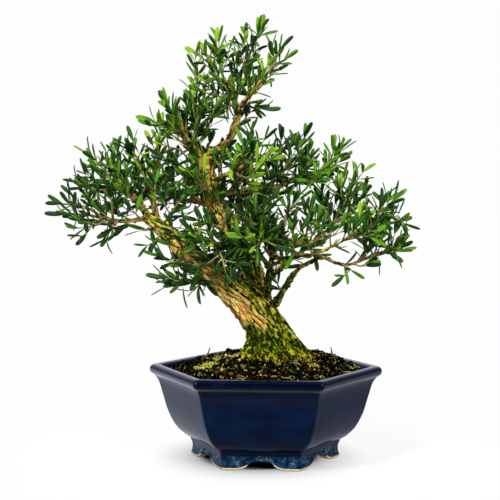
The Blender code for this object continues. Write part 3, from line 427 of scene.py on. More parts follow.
def turned(x, y, angle):
    """x and y turned about the middle."""
    return x * np.cos(angle) - y * np.sin(angle), x * np.sin(angle) + y * np.cos(angle)


def draws(*key):
    """Random numbers that belong to the words or numbers given, the same on every run."""
    return np.random.default_rng([SEED, *[sum(map(ord, k)) if isinstance(k, str) else int(k) for k in key]])


class Route:
    """A smooth line through given points, read by distance from its start (Catmull-Rom)."""

    def __init__(self, points, steps=12):
        points = np.asarray(points, float)
        ends = np.vstack([2 * points[0] - points[1], points, 2 * points[-1] - points[-2]])
        share = np.linspace(0, 1, steps, endpoint=False)[:, None]
        runs = []
        for before, start, end, after in zip(ends, ends[1:], ends[2:], ends[3:]):
            linear = (end - before) * share
            square = (2 * before - 5 * start + 4 * end - after) * share**2
            cube = (3 * start - before - 3 * end + after) * share**3
            runs.append(start + 0.5 * (linear + square + cube))
        self.line = np.vstack([*runs, points[-1:]])
        self.reach = np.r_[0, np.cumsum(np.linalg.norm(np.diff(self.line[:, :3], axis=0), axis=1))]
        self.length = self.reach[-1]

    def at(self, distance):
        """The point, or points, at these distances along the line."""
        return np.stack([np.interp(distance, self.reach, axis) for axis in self.line.T], axis=-1)

    def heading(self, distance):
        """The direction of travel there."""
        ahead = self.at(np.minimum(np.asarray(distance) + 0.5, self.length))
        behind = self.at(np.maximum(np.asarray(distance) - 0.5, 0))
        return unit(ahead - behind)


def cells(across, along, wrap, key):
    """Plates on a plane, one jittered point a cell: distance to the nearest point, how much further the next
    one is, a random number for each plate, and how far along the plate the place lies. Across repeats after
    wrap cells."""
    rows = 97
    table = draws("cells", key).random((wrap, rows, 3))
    left = np.floor(across).astype(int)
    low = np.floor(along).astype(int)
    found = []
    for i in (-1, 0, 1):
        for j in (-1, 0, 1):
            point = table[(left + i) % wrap, (low + j) % rows]
            past = along - (low + j + point[..., 1])
            gap = np.hypot(left + i + point[..., 0] - across, past)
            found.append(np.stack([gap, point[..., 2], past], -1))
    found = np.stack(found)
    order = np.argsort(found[..., 0], axis=0)
    first = np.take_along_axis(found, order[:1, ..., None], axis=0)[0]
    second = np.take_along_axis(found, order[1:2, ..., None], axis=0)[0]
    return first[..., 0], second[..., 0] - first[..., 0], first[..., 1], first[..., 2]


def waves(points, size, key):
    """A soft bumpy field from -1 to 1: the sum of nine sine waves in random directions, about size long."""
    rng = draws("waves", key)
    total = 0
    for _ in range(9):
        direction = unit(rng.normal(size=3)) * 2 * np.pi / (size * rng.uniform(0.6, 1.6))
        total = total + np.sin(points @ direction + rng.uniform(0, 6.3))
    return total / 4.2


def grid_faces(rows, columns, closed=False):
    """Squares of a grid whose last column joins the first, and whose last row does too where it is closed."""
    row = np.arange(rows if closed else rows - 1)[:, None]
    column = np.arange(columns)[None]
    ahead, beside = (row + 1) % rows * columns, (column + 1) % columns
    row = row * columns
    return np.stack([row + column, row + beside, ahead + beside, ahead + column], -1).reshape(-1, 4)


def capped(rings):
    """A stack of rings, shape (rows, sides, 3), as points and faces, its two ends closed to a point."""
    rows, sides = rings.shape[:2]
    points = np.vstack([rings.reshape(-1, 3), rings[0].mean(0), rings[-1].mean(0)])
    step = np.arange(sides)
    after = (step + 1) % sides
    last = (rows - 1) * sides
    foot = np.stack([np.full(sides, rows * sides), after, step], 1)
    tip = np.stack([np.full(sides, rows * sides + 1), last + step, last + after], 1)
    return points, [grid_faces(rows, sides), foot, tip]


def carried(headings, first_side):
    """Two directions square to each of a line's headings, turned as little as can be from one to the next."""
    side = unit(np.cross(headings[0], np.cross(first_side, headings[0])))
    sides = []
    for heading in headings:
        side = unit(side - heading * np.dot(side, heading))
        sides.append(side)
    return np.array(sides), np.cross(headings, sides)


def round_line(turn, first, second):
    """Circles of radius one, square to a line at its points: cos turn to one side, sin turn to the other."""
    return np.cos(turn)[..., None] * first[:, None] + np.sin(turn)[..., None] * second[:, None]


def joined(pieces):
    """Several (points, faces, look) as one, look being one row of four numbers a point."""
    points, faces, looks, start = [], {}, [], 0
    for piece_points, piece_faces, look in pieces:
        points.append(piece_points)
        looks.append(np.broadcast_to(look, (len(piece_points), 4)))
        for block in piece_faces:
            faces.setdefault(block.shape[1], []).append(block + start)
        start += len(piece_points)
    return np.vstack(points), [np.vstack(blocks) for blocks in faces.values()], np.vstack(looks)


def with_ends(look):
    """The look of a stack of rings, with one row more for each end that closes to a point."""
    return np.vstack([look.reshape(-1, 4), look[0, :1], look[-1, :1]])


def add_piece(
    name, points, faces, material, replaced=(), look=None, coordinates=None, grain=None,
    stage=False,
):
    """Puts points, in millimetres, and blocks of faces into a mesh object that rides on the plant's body.

    look is four numbers a point, kept as the attribute "look"; grain is a point's place along the wood, kept
    as the attribute "grain"; coordinates are its place on the surface, kept as the UV map "place"."""
    mesh = bpy.data.meshes.new(name)
    points = (np.asarray(points, float) + HOME) * MM
    corners = np.concatenate([block.ravel() for block in faces])
    sizes = np.concatenate([np.full(len(block), block.shape[1]) for block in faces])
    mesh.vertices.add(len(points))
    mesh.loops.add(len(corners))
    mesh.polygons.add(len(sizes))
    mesh.vertices.foreach_set("co", points.astype(np.float32).ravel())
    mesh.loops.foreach_set("vertex_index", corners.astype(np.int32))
    mesh.polygons.foreach_set("loop_start", np.r_[0, np.cumsum(sizes)[:-1]].astype(np.int32))
    mesh.polygons.foreach_set("loop_total", sizes.astype(np.int32))
    mesh.update(calc_edges=True)
    mesh.polygons.foreach_set("use_smooth", np.ones(len(sizes), bool))
    if look is not None:
        attribute = mesh.attributes.new("look", "FLOAT_COLOR", "POINT")
        attribute.data.foreach_set("color", np.asarray(look, np.float32).ravel())
    if grain is not None:
        attribute = mesh.attributes.new("grain", "FLOAT_VECTOR", "POINT")
        attribute.data.foreach_set("vector", (np.asarray(grain) * MM).astype(np.float32).ravel())
    if coordinates is not None:
        layer = mesh.uv_layers.new(name="place")
        layer.data.foreach_set("uv", np.asarray(coordinates, np.float32)[corners].ravel())
    mesh.validate()
    mesh.materials.append(material)
    piece = bpy.data.objects.new(name, mesh)
    bpy.context.scene.collection.objects.link(piece)
    if stage:
        return
    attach(piece, BODY)
    if replaced:
        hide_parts(*replaced)


class Link:
    """A value in a material's nodes. Arithmetic on it adds Math nodes."""

    def __init__(self, recipe, socket):
        self.recipe = recipe
        self.socket = socket

    def math(self, operation, *values):
        return self.recipe.node("ShaderNodeMath", {"operation": operation}, dict(enumerate(values)))

    def __add__(self, other):
        return self.math("ADD", self, other)

    def __radd__(self, other):
        return self.math("ADD", other, self)

    def __sub__(self, other):
        return self.math("SUBTRACT", self, other)

    def __rsub__(self, other):
        return self.math("SUBTRACT", other, self)

    def __mul__(self, other):
        return self.math("MULTIPLY", self, other)

    def __rmul__(self, other):
        return self.math("MULTIPLY", other, self)

    def __truediv__(self, other):
        return self.math("DIVIDE", self, other)

    def __rtruediv__(self, other):
        return self.math("DIVIDE", other, self)

    def size(self):
        """How large it is, without its sign."""
        return self.math("ABSOLUTE", self)

    def step(self, low, high):
        """0 below low and 1 above high, with a smooth step between."""
        ends = {"Value": self, "From Min": low, "From Max": high}
        return self.recipe.node("ShaderNodeMapRange", {"interpolation_type": "SMOOTHSTEP"}, ends)


class Recipe:
    """A material's nodes, with the fixed values of its shader set on the shader itself."""

    def __init__(self, name, **fixed):
        self.material = bpy.data.materials.new(name)
        self.start(self.material, "Principled BSDF", fixed)
        self.place = self.node("ShaderNodeTexCoord", output="Object")

    def start(self, owner, shader, fixed):
        owner.use_nodes = True
        self.tree = owner.node_tree
        self.shader = self.tree.nodes[shader]
        for words, value in fixed.items():
            self.shader.inputs[words.replace("_", " ")].default_value = value

    def node(self, kind, settings=None, values=None, output=0):
        """Adds a node: its settings first, then the values or links of its sockets; gives one output."""
        node = self.tree.nodes.new(kind)
        for word, setting in (settings or {}).items():
            if word == "stops":
                self.set_stops(node.color_ramp, setting)
            else:
                setattr(node, word, setting)
        for socket, value in (values or {}).items():
            if isinstance(value, Link):
                self.tree.links.new(value.socket, node.inputs[socket])
            else:
                node.inputs[socket].default_value = value
        return Link(self, node.outputs[output])

    def set_stops(self, ramp, stops):
        while len(ramp.elements) < len(stops):
            ramp.elements.new(1.0)
        for element, (position, colour) in zip(ramp.elements, stops):
            element.position = position
            element.color = (*colour, 1.0)

    def ramp(self, value, *stops):
        """A colour that goes through the stops, each a position and a colour, as the value grows."""
        return self.node("ShaderNodeValToRGB", {"stops": stops}, {"Fac": value})

    def shades(self, value, settings, family, *more, **positions):
        """A ramp through the settings' colours of one family, each told as its name and position."""
        stops = [(position, getattr(settings, f"{family}_{word}")) for word, position in positions.items()]
        return self.ramp(value, *stops, *more)

    def mix(self, share, *colours):
        """The second colour over the first, as much as share says."""
        first, second = (colour if isinstance(colour, Link) else (*colour, 1.0) for colour in colours)
        settings = {"data_type": "RGBA", "clamp_factor": True}
        return self.node("ShaderNodeMix", settings, {"Factor": share, 6: first, 7: second}, output=2)

    def noise(self, size, detail=3.0, roughness=0.55, place=None, stretch=None):
        """Noise from 0 to 1 whose lumps are about so many millimetres across."""
        place = place or self.place
        if stretch:
            place = self.node("ShaderNodeMapping", None, {"Vector": place, "Scale": stretch})
        values = {"Vector": place, "Scale": 1 / (size * MM), "Detail": detail, "Roughness": roughness}
        return self.node("ShaderNodeTexNoise", None, values)

    def specks(self, size):
        """Cells about so many millimetres across: the distance to each one's middle."""
        values = {"Vector": self.place, "Scale": 1 / (size * MM)}
        return self.node("ShaderNodeTexVoronoi", None, values, "Distance")

    def axis(self, vector, axis):
        """One number of a vector: X, Y or Z."""
        return self.node("ShaderNodeSeparateXYZ", None, {"Vector": vector}, output=axis)

    def distance(self, place):
        """How far, in metres, from a place told in millimetres from the pot's middle."""
        ends = {0: self.place, 1: (HOME + place) * MM}
        return self.node("ShaderNodeVectorMath", {"operation": "DISTANCE"}, ends, output="Value")

    def ray(self, kind):
        """1 where the light is traced by a ray of this kind: Camera, Diffuse or Glossy."""
        return self.node("ShaderNodeLightPath", output=f"Is {kind} Ray")

    def look(self):
        """The four numbers that the mesh keeps for each point."""
        settings = {"attribute_name": "look"}
        colour = self.node("ShaderNodeAttribute", settings, output="Color")
        numbers = [self.node("ShaderNodeSeparateColor", None, {"Color": colour}, output=i) for i in range(3)]
        return [*numbers, self.node("ShaderNodeAttribute", settings, output="Alpha")]

    def near(self, place, reach):
        """1 close to a place told in millimetres from the pot's middle, 0 beyond the reach."""
        return 1 - (self.distance(place) / (reach * MM)).step(0.40, 1.0)

    def height(self):
        """Height above the ground, in millimetres."""
        return self.axis(self.place, "Z") * (1 / MM)

    def feed(self, **links):
        """Links values to the shader's own sockets, named with _ for a space."""
        for words, link in links.items():
            self.tree.links.new(link.socket, self.shader.inputs[words.replace("_", " ")])

    def grain(self):
        """A place that runs fast round a limb and slowly along it, for streaks along the wood."""
        return self.node("ShaderNodeAttribute", {"attribute_name": "grain"}, output="Vector")

    def bump(self, height, depth):
        """Relief in the shading, so many millimetres deep where height goes from 0 to 1."""
        self.feed(Normal=self.node("ShaderNodeBump", None, {"Height": height, "Distance": depth * MM}))


class Sky(Recipe):
    """The light from all round, made with the same nodes."""

    def __init__(self, name):
        self.world = bpy.data.worlds.new(name)
        self.start(self.world, "Background", {"Color": (1, 1, 1, 1)})


def glaze(settings):
    """Deep glossy blue over clay: darkest on the rim, cloudy on the sides, thin and flecked pale on the feet,
    bare clay along the lower edge, a painted grey sheen in a band below the rim, and grooves painted dark as
    shade."""
    tint = (0.72, 0.82, 1.0, 1.0)
    recipe = Recipe("cobalt_glaze", Specular_IOR_Level=0.09, IOR=1.5, Coat_Roughness=0.06, Specular_Tint=tint)
    bare, lip, _, _ = recipe.look()
    height = recipe.height()
    body = recipe.shades(recipe.noise(30, 3, stretch=(1, 1, 2.6)), settings, "glaze", deep=0.34, light=0.60)
    # Painted sheen: a greyer band below the rim stands for light mirrored in the cove there
    neck = height.step(55, 66) * (1 - height.step(70, 73.5))
    sheen_painted = recipe.mix(neck * 0.40, body, settings.glaze_painted_sheen)
    # The rim all round takes a darker blue than the body, with a little of the light glaze mixed in
    rim = recipe.mix(recipe.noise(6, 3).step(0.5, 0.7) * 0.5, settings.glaze_rim, settings.glaze_light)
    rimmed = recipe.mix(height.step(71.5, 74.0), sheen_painted, rim)
    low = 1 - height.step(11.5, 13.6)
    blue = recipe.shades(recipe.noise(6.0, 5, 0.65), settings, "glaze", deep=0.36, foot=0.50, thin=0.70)
    fleck = recipe.noise(1.1, 4, 0.8).step(0.53, 0.64) * recipe.noise(8, 2).step(0.50, 0.60) * low
    flecked = recipe.mix(fleck * 0.80, recipe.mix(low * 0.92, rimmed, blue), settings.glaze_fleck)
    # Painted shade: the grooves round the foot and waist are darkened in colour, and cut in by the bump
    groove = 1 - (height - FOOT_GROOVE).size().step(0.25, 0.9)
    groove = groove + (1 - (height - WAIST_GROOVE).size().step(0.2, 0.7)) * 0.7
    groove_shaded = recipe.mix(groove * 0.8, flecked, (0.001, 0.003, 0.010))
    pin = (1 - recipe.specks(3.5).step(0.0, 0.09)) * recipe.noise(20).step(0.56, 0.62)
    pinned = recipe.mix(pin * 0.5, groove_shaded, (0.12, 0.15, 0.25))
    clay = recipe.ramp(recipe.noise(1.6, 4), (0.3, (0.55, 0.40, 0.22)), (0.7, (0.80, 0.64, 0.42)))
    recipe.feed(Base_Color=recipe.mix(bare.step(0.35, 0.65), pinned, clay), Coat_Weight=lip * 0.8)
    wear = recipe.noise(26, 3) * 0.10 + 0.07 + bare * 0.65 + fleck * 0.10 + low * 0.08 + neck * 0.12
    recipe.feed(Roughness=wear)
    recipe.bump(recipe.noise(9, 2) * 0.5 + recipe.noise(1.2, 3) * 0.10 + fleck * 0.10 - groove * 0.5, 0.35)
    return recipe.material


def soil_mix(settings):
    """Dark composted bark: black, brown and olive grains with dry paler ones, and yellow-green or pale dry
    moss where it grows."""
    recipe = Recipe("potting_mix", Roughness=0.8, Specular_IOR_Level=0.0)
    tone, moss, dry, _ = recipe.look()
    grain = recipe.noise(1.1, 5, 0.75)
    fine = recipe.noise(2.6, 3, 0.6)
    lightness = grain * 0.9 + tone * tone * 0.95 + fine * 0.4 - 0.635
    body = recipe.shades(lightness, settings, "soil", dark=0.30, mid=0.55, light=0.80, dry=1.0)
    earthy = recipe.mix(recipe.noise(1.8, 2).step(0.56, 0.64) * 0.6, body, (0.036, 0.028, 0.009))
    tips = grain * 1.2 + tone * 0.4 - 0.3
    living = (0.02, 0.05, 0.004), (0.22, 0.27, 0.012), (0.62, 0.56, 0.05)
    dead = (0.06, 0.06, 0.008), (0.40, 0.34, 0.08), (0.80, 0.62, 0.28)
    living, dead = (recipe.ramp(tips, *zip((0.2, 0.5, 0.8), colours)) for colours in (living, dead))
    grown = (moss + grain * 1.1 - 1.05).step(0.0, 0.25)
    recipe.feed(Base_Color=recipe.mix(grown, earthy, recipe.mix(dry, living, dead)))
    recipe.bump(grain, 0.8)
    return recipe.material


def grit(settings):
    """Small stones and fertiliser grains among the soil, each of its own colour, with a powdery skin."""
    recipe = Recipe("grit_and_grains", Roughness=0.75, Specular_IOR_Level=0.20)
    tone, _, _, _ = recipe.look()
    body = recipe.ramp(
        tone, (0.0, (0.34, 0.13, 0.03)), (0.22, (0.62, 0.34, 0.10)), (0.42, (0.75, 0.58, 0.22)),
        (0.60, (0.34, 0.38, 0.03)), (0.80, (0.10, 0.22, 0.03)), (1.0, (0.36, 0.52, 0.12)),
    )
    dirt = recipe.noise(0.8, 3)
    recipe.feed(Base_Color=recipe.mix(dirt.step(0.43, 0.66), body, (0.03, 0.022, 0.012)))
    recipe.bump(dirt, 0.2)
    return recipe.material


def bark(settings):
    """Stringy bark: tan and pale strands, orange where they have just flaked, near-black fissures darkened
    partly as painted shade, and moss that is yellow on the ridges and dark green below them; darker where the
    mesh marks painted shade."""
    recipe = Recipe("boxwood_bark", Roughness=0.92, Specular_IOR_Level=0.0)
    crack, plate, moss, shade = recipe.look()
    strand = recipe.noise(2.3, 4, 0.62, place=recipe.grain())
    fray = recipe.noise(3.2, 3, 0.6)
    pore = recipe.noise(1.2, 3, 0.6)
    broad = recipe.noise(10, 3)
    high = recipe.height().step(140, 190)
    ridge = plate * 0.60 + strand * 1.7 + fray * 0.6 + pore * 0.3 - 1.20
    lightness = ridge + broad * 0.3 - high * 0.20 - 0.03
    wood = recipe.shades(lightness, settings, "bark", dark=0.02, mid=0.24, light=0.46, pale=0.74)
    patch = recipe.near(*FLAKED_LOW) + recipe.near(*FLAKED_HIGH) * 0.8
    flaked = (recipe.noise(11, 3) + patch * 0.35).step(0.52, 0.60)
    wood = recipe.mix(flaked * 0.75 * (1 - ridge.step(0.45, 0.85)), wood, settings.bark_flaked)
    spread = recipe.noise(4, 5, 0.65)
    grown = (moss + spread * 0.9 - 0.88 - patch * 0.5).step(0.0, 0.22)
    # Under the ledge the moss is kept green, not dry olive, and painted darker as shade
    green_in_shade = recipe.near(*GREEN_IN_SHADE)
    lightness = ridge + spread * 0.6 - 0.40 - green_in_shade * 0.20
    green = recipe.shades(lightness, settings, "moss", dark=0.06, mid=0.30, light=0.54, dry=0.80)
    low = 1 - (recipe.height() + spread * 12 - 6).step(92, 101)
    green = recipe.mix(low * 0.65 * ridge.step(0.20, 0.50), green, settings.moss_rust)
    lightness, palest = ridge + spread * 0.5 - 0.22, (0.85, settings.bark_pale)
    olive = recipe.shades(lightness, settings, "olive", palest, dark=0.02, mid=0.28, light=0.55)
    bare = 1 - recipe.noise(9, 3).step(0.50, 0.60) * 0.85
    dry = (recipe.height() + recipe.noise(12, 3) * 24 - 12).step(106, 122) * bare * (1 - green_in_shade)
    coated = recipe.mix(grown * 0.95, wood, recipe.mix(dry, green, olive))
    # The fissures and the gaps between strands: their own dark colour, partly painted shade in the recesses
    gap = recipe.mix(grown, settings.bark_fissure_shade, settings.moss_deep)
    depth = 1 - (crack + fray * 0.5 - 0.25 - grown * 0.05).step(0.0, 0.20)
    split = 1 - (strand + fray * 0.25 - 0.125 - grown * 0.09).step(0.33, 0.43)
    cracked = recipe.mix(depth * (grown * 0.20 + 0.76), coated, gap)
    pitted = recipe.mix(split * (grown * 0.34 + 0.60), cracked, gap)
    recipe.feed(Base_Color=recipe.mix(shade * 0.85, pitted, (0.02, 0.018, 0.006)))
    recipe.bump(strand * 1.2 + fray * 0.6 + pore * 0.3, 1.3)
    return recipe.material


def twig_bark(settings):
    """Thin bark of twigs: tan-brown and scaly, green toward the growing end."""
    recipe = Recipe("twig_bark", Roughness=0.8, Specular_IOR_Level=0.10)
    young, tone, _, _ = recipe.look()
    scale = recipe.noise(1.3, 4, 0.6)
    old = recipe.ramp(scale * 0.7 + tone * 0.3, (0.3, (0.12, 0.075, 0.03)), (0.7, (0.42, 0.29, 0.14)))
    recipe.feed(Base_Color=recipe.mix(young.step(0.25, 0.85), old, settings.stem_green))
    recipe.bump(scale, 0.3)
    return recipe.material


def leaf_skin(settings):
    """Leathery leaf: dark to mid green by leaf, yellow-green on new growth, a pale midrib and thin edge, and
    a matt greyer underside."""
    recipe = Recipe("boxwood_leaf", Specular_IOR_Level=0.07)
    tone, young, under, _ = recipe.look()
    place = recipe.node("ShaderNodeUVMap", {"uv_map": "place"})
    across, along = recipe.axis(place, "X").size(), recipe.axis(place, "Y")
    blotch = recipe.noise(5, 3)
    lightness = tone * 0.85 + blotch * 0.3 - 0.08
    old = recipe.shades(lightness, settings, "leaf", dark=0.10, mid=0.55, light=0.95)
    fresh = recipe.mix(tone, settings.leaf_young, settings.leaf_youngest)
    upper = recipe.mix(young.step(0.15, 0.85), old, fresh)
    rib = 1 - across.step(0.04, 0.20)
    edge = across.step(0.78, 0.97)
    ribbed = recipe.mix(rib * 0.50 + edge * 0.40, upper, settings.leaf_rib)
    slant = recipe.node("ShaderNodeCombineXYZ", None, {"X": across * -0.5, "Y": along * 2.2})
    wave = {"Vector": slant, "Scale": 4.0, "Distortion": 0.6}
    veins = recipe.node("ShaderNodeTexWave", {"bands_direction": "DIAGONAL"}, wave)
    veined = recipe.mix(veins * 0.10, ribbed, settings.leaf_rib)
    side = under.step(0.55, 0.75)
    recipe.feed(Base_Color=recipe.mix(side, veined, recipe.mix(0.5, upper, settings.leaf_under)))
    recipe.feed(Roughness=side * 0.25 + blotch * 0.16 + 0.26)
    recipe.bump(veins * 0.25 - rib * 0.6 + blotch * 0.3, 0.12)
    return recipe.material


def moss_green(settings):
    """Moss: short green to yellow stems."""
    recipe = Recipe("moss", Roughness=0.9, Specular_IOR_Level=0.06)
    tone, height, _, _ = recipe.look()
    colour = recipe.shades(tone, settings, "moss", dark=0.1, mid=0.5, light=0.9)
    recipe.feed(Base_Color=recipe.mix(height * 0.5, colour, (0.48, 0.44, 0.02)))
    recipe.bump(recipe.noise(0.6, 3), 0.2)
    return recipe.material


def net_plastic():
    """Dark plastic net, slightly dusty."""
    recipe = Recipe("net_plastic", Roughness=0.6)
    dust = recipe.noise(3, 4)
    recipe.feed(Base_Color=recipe.ramp(dust, (0.4, (0.02, 0.02, 0.022)), (0.8, (0.07, 0.06, 0.05))))
    recipe.feed(Roughness=dust * 0.4 + 0.35)
    recipe.bump(recipe.noise(0.8, 3), 0.1)
    return recipe.material


def backdrop_paper(settings):
    """Matt white backdrop paper with the faintest tooth that glows by itself, with a painted shadow round and
    under where the pot stands. Gloss mirrors it dark in front and dimmer on the right, and it throws little
    light up at the leaves."""
    recipe = Recipe("backdrop_paper", Roughness=0.95, Specular_IOR_Level=0.05, Emission_Strength=1.0)
    tooth = recipe.noise(3, 3)
    away = recipe.distance(GLOW_MIDDLE)
    across, along = (recipe.axis(recipe.place, axis) for axis in "XY")
    paper = recipe.ramp(tooth, (0.3, [c * 0.985 for c in settings.paper]), (0.7, settings.paper))
    far = away.step(0.10, 0.30)
    recipe.feed(Base_Color=recipe.mix(far, paper, (0, 0, 0)))
    # Painted shadow: the glow is nothing under the pot and rises outward round it
    glow = [(reach / SHADE_REACH, [light * settings.glow] * 3) for reach, light in SHADE_ROUND_POT]
    near = recipe.ramp(away * (1 / (SHADE_REACH * MM)), *glow)
    seen = recipe.mix(far, near, FAR_PAPER)
    mirrored = (along.step(-0.16, 0.0) * 0.9 + 0.1) * (1 - across.step(-0.15, 0.20) * settings.right_drop)
    glossy = recipe.mix(mirrored * settings.mirror, (0, 0, 0), settings.gloss_colour)
    lit = recipe.mix(recipe.ray("Diffuse"), glossy, recipe.mix(settings.bounce, (0, 0, 0), seen))
    recipe.feed(Emission_Color=recipe.mix(recipe.ray("Camera"), lit, seen))
    recipe.bump(tooth, 0.05)
    return recipe.material


def setting(name, description, default, low, high, **kind):
    """A number that a user can change."""
    return FloatProperty(name=name, description=description, default=default, min=low, max=high, **kind)


def length_setting(*details):
    """A length that a user can change."""
    return setting(*details, subtype="DISTANCE", unit="LENGTH")


def share_setting(*details):
    """A share from 0 to 1 that a user can change."""
    return setting(*details, 0, 1, subtype="FACTOR")


def count_setting(name, description, default, high):
    """How many of something a user wants."""
    return IntProperty(name=name, description=description, default=default, min=0, max=high)


def colour_setting(name, description, default):
    """A colour that a user can change."""
    kind = {"subtype": "COLOR", "min": 0, "max": 1}
    return FloatVectorProperty(name=name, description=description, default=default, **kind)


class PotSettings(bpy.types.PropertyGroup):
    """Colours of the pot and its soil."""

    glaze_deep: colour_setting("Deep glaze", "Where it lies thick", (0.0016, 0.0058, 0.021))
    glaze_light: colour_setting("Light glaze", "Where it lies thinner", (0.0030, 0.0100, 0.038))
    glaze_foot: colour_setting("Glaze on the feet", "Where it ran thin", (0.002, 0.020, 0.050))
    glaze_fleck: colour_setting("Flecks", "Pale flecks on the feet", (0.32, 0.45, 0.62))
    # Darkest blue, used all round the rim
    glaze_rim: colour_setting("Glaze on the rim", "Where it lies thickest", (0.0004, 0.0018, 0.0120))
    # Painted sheen: the greyer band below the rim stands for light mirrored there
    glaze_painted_sheen: colour_setting("Glaze under the rim", "Greyer band below the rim", (0.0120, 0.0150, 0.0260))
    glaze_thin: colour_setting("Thin glaze", "Brightest blue on the feet", (0.022, 0.064, 0.150))
    soil_dark: colour_setting("Dark soil", "Between the grains", (0.0006, 0.0006, 0.0004))
    soil_mid: colour_setting("Soil", "Most of the grains", (0.0042, 0.0044, 0.0018))
    soil_light: colour_setting("Light soil", "Driest grains", (0.028, 0.028, 0.009))
    soil_dry: colour_setting("Dry soil", "Palest crumbs and fibres", (0.180, 0.150, 0.055))
    crumbs: count_setting("Crumbs", "Loose crumbs on the soil", 6500, 8000)
    grains: count_setting("Grains", "Coloured grit on the soil", 200, 3000)


class TreeSettings(bpy.types.PropertyGroup):
    """Colours and measures of bark, moss and leaves."""

    # Painted shade in part: the fissures' own dark colour, darkened as if shaded
    bark_fissure_shade: colour_setting("Fissures", "Deep between the plates", (0.020, 0.011, 0.004))
    bark_dark: colour_setting("Dark bark", "Darkest plates", (0.220, 0.125, 0.032))
    bark_mid: colour_setting("Bark", "Most of the plates", (0.80, 0.500, 0.095))
    bark_light: colour_setting("Light bark", "Sunlit plates", (1.0, 0.68, 0.150))
    bark_pale: colour_setting("Pale bark", "Highest strands", (1.0, 0.82, 0.30))
    bark_flaked: colour_setting("Flaked bark", "Orange where a plate has come off", (0.80, 0.40, 0.085))
    # Painted shade in part: moss in the fissures, darkened as if shaded
    moss_deep: colour_setting("Deep moss", "Moss down in the fissures", (0.007, 0.013, 0.001))
    moss_dark: colour_setting("Dark moss", "Shaded moss", (0.014, 0.052, 0.004))
    moss_mid: colour_setting("Moss", "Most of the moss", (0.085, 0.210, 0.002))
    moss_light: colour_setting("Light moss", "Moss in the light", (0.52, 0.59, 0.006))
    moss_dry: colour_setting("Dry moss", "Moss dried on the ridges", (0.86, 0.66, 0.030))
    olive_dark: colour_setting("Dark olive", "Dry moss in the shade, up the trunk", (0.030, 0.034, 0.006))
    olive_mid: colour_setting("Olive", "Most of the dry moss", (0.360, 0.330, 0.020))
    olive_light: colour_setting("Light olive", "Dry moss on the ridges", (0.800, 0.700, 0.085))
    moss_rust: colour_setting("Rusty moss", "Old moss on ridges just above the soil", (0.420, 0.250, 0.005))
    moss_tufts: count_setting("Moss stems", "Stems of moss on the trunk", 900, 30000)
    leaf_length: length_setting("Leaf length", "Of a full-grown leaf", 0.0188, 0.008, 0.03)
    leaf_width: length_setting("Leaf width", "At its widest", 0.0046, 0.002, 0.012)
    leaf_dark: colour_setting("Dark leaf", "Oldest leaves", (0.0020, 0.023, 0.005))
    leaf_mid: colour_setting("Leaf", "Most leaves", (0.010, 0.092, 0.004))
    leaf_light: colour_setting("Light leaf", "Lightest grown leaves", (0.105, 0.330, 0.010))
    leaf_young: colour_setting("Young leaf", "This year's leaves", (0.190, 0.440, 0.010))
    leaf_youngest: colour_setting("Youngest leaf", "Leaves just opened", (0.370, 0.580, 0.018))
    leaf_under: colour_setting("Underside", "Underside of the leaves", (0.048, 0.110, 0.050))
    leaf_rib: colour_setting("Midrib", "Midrib and veins", (0.190, 0.330, 0.060))
    stem_green: colour_setting("Green stem", "Growing end of a twig", (0.260, 0.300, 0.050))


class StageSettings(bpy.types.PropertyGroup):
    """Backdrop, lights and camera."""

    paper: colour_setting("Backdrop", "Colour of floor and backdrop", (0.10, 0.10, 0.102))
    room: setting("Room light", "White walls beside, behind and above", 0.26, 0, 10)
    glow: setting("Floor glow", "Light that the backdrop gives by itself, near the pot", 1.0, 0, 10)
    bounce: share_setting("Floor bounce", "Share of the floor glow that reaches matt surfaces", 0.35)
    mirror: share_setting("Floor mirrored", "Share of the floor glow that gloss mirrors", 0.9)
    dark_side: share_setting("Dark side", "Share of the room light from behind the camera", 0.10)
    right_drop: share_setting("Right side drop", "How much weaker the room light is from the right", 0.5)
    gloss_colour: colour_setting("Mirrored colour", "The room's, as gloss mirrors it", (0.80, 0.84, 1.0))
    key: setting("Main light", "Strength of the sun-like light from the upper left", 3.4, 0, 50)
    fill: setting("Fill light", "Strength of the one from the right", 2.4, 0, 50)
    top: setting("Top light", "Strength of the one from above", 0.7, 0, 50)
    glint: setting("Glints", "Power of the small lights that only gloss shows", 5.0, 0, 500, subtype="POWER")
    distance: length_setting("Camera distance", "From the middle of the picture", 0.95, 0.3, 5)


def side_of_pot(radius, height, roundness):
    """Rings of a six-sided pot: each side straight, each corner an arc; roundness turns a ring into a circle.

    The rounding circle touches both sides, so its middle lies radius - rounding / cos 30 from the axis."""
    turn = 2 * np.pi / POT_SIDES
    rounding = np.interp(radius, *np.array(CORNER_ROUNDING, float).T)
    rounding = np.minimum(rounding, radius * 0.4)[:, None]
    middle = radius[:, None] - rounding / np.cos(turn / 2)
    swing = np.linspace(-turn / 2, turn / 2, STEPS_ON_CORNER)
    arc = middle + rounding * np.cos(swing), rounding * np.sin(swing)
    ahead = turned(arc[0][:, :1], arc[1][:, :1], turn)
    share = np.linspace(0, 1, STEPS_ON_SIDE + 2)[1:-1]
    side = [np.hstack([run, run[:, -1:] + (end - run[:, -1:]) * share]) for run, end in zip(arc, ahead)]
    turns = np.arange(POT_SIDES)[:, None, None] * turn
    x, y = (axis.transpose(1, 0, 2).reshape(len(radius), -1) for axis in turned(*side, turns))
    angle = np.arctan2(y, x)
    x = x + (radius[:, None] * np.cos(angle) - x) * roundness[:, None]
    y = y + (radius[:, None] * np.sin(angle) - y) * roundness[:, None]
    return np.stack([x, y, np.broadcast_to(height[:, None], x.shape)], -1)


def from_side_middle(points):
    """How far each point lies, sideways, from the middle of the pot's side that it is on."""
    turn = 2 * np.pi / POT_SIDES
    off = (np.arctan2(points[..., 1], points[..., 0]) % turn) - turn / 2
    return np.abs(np.hypot(points[..., 0], points[..., 1]) * np.sin(off))


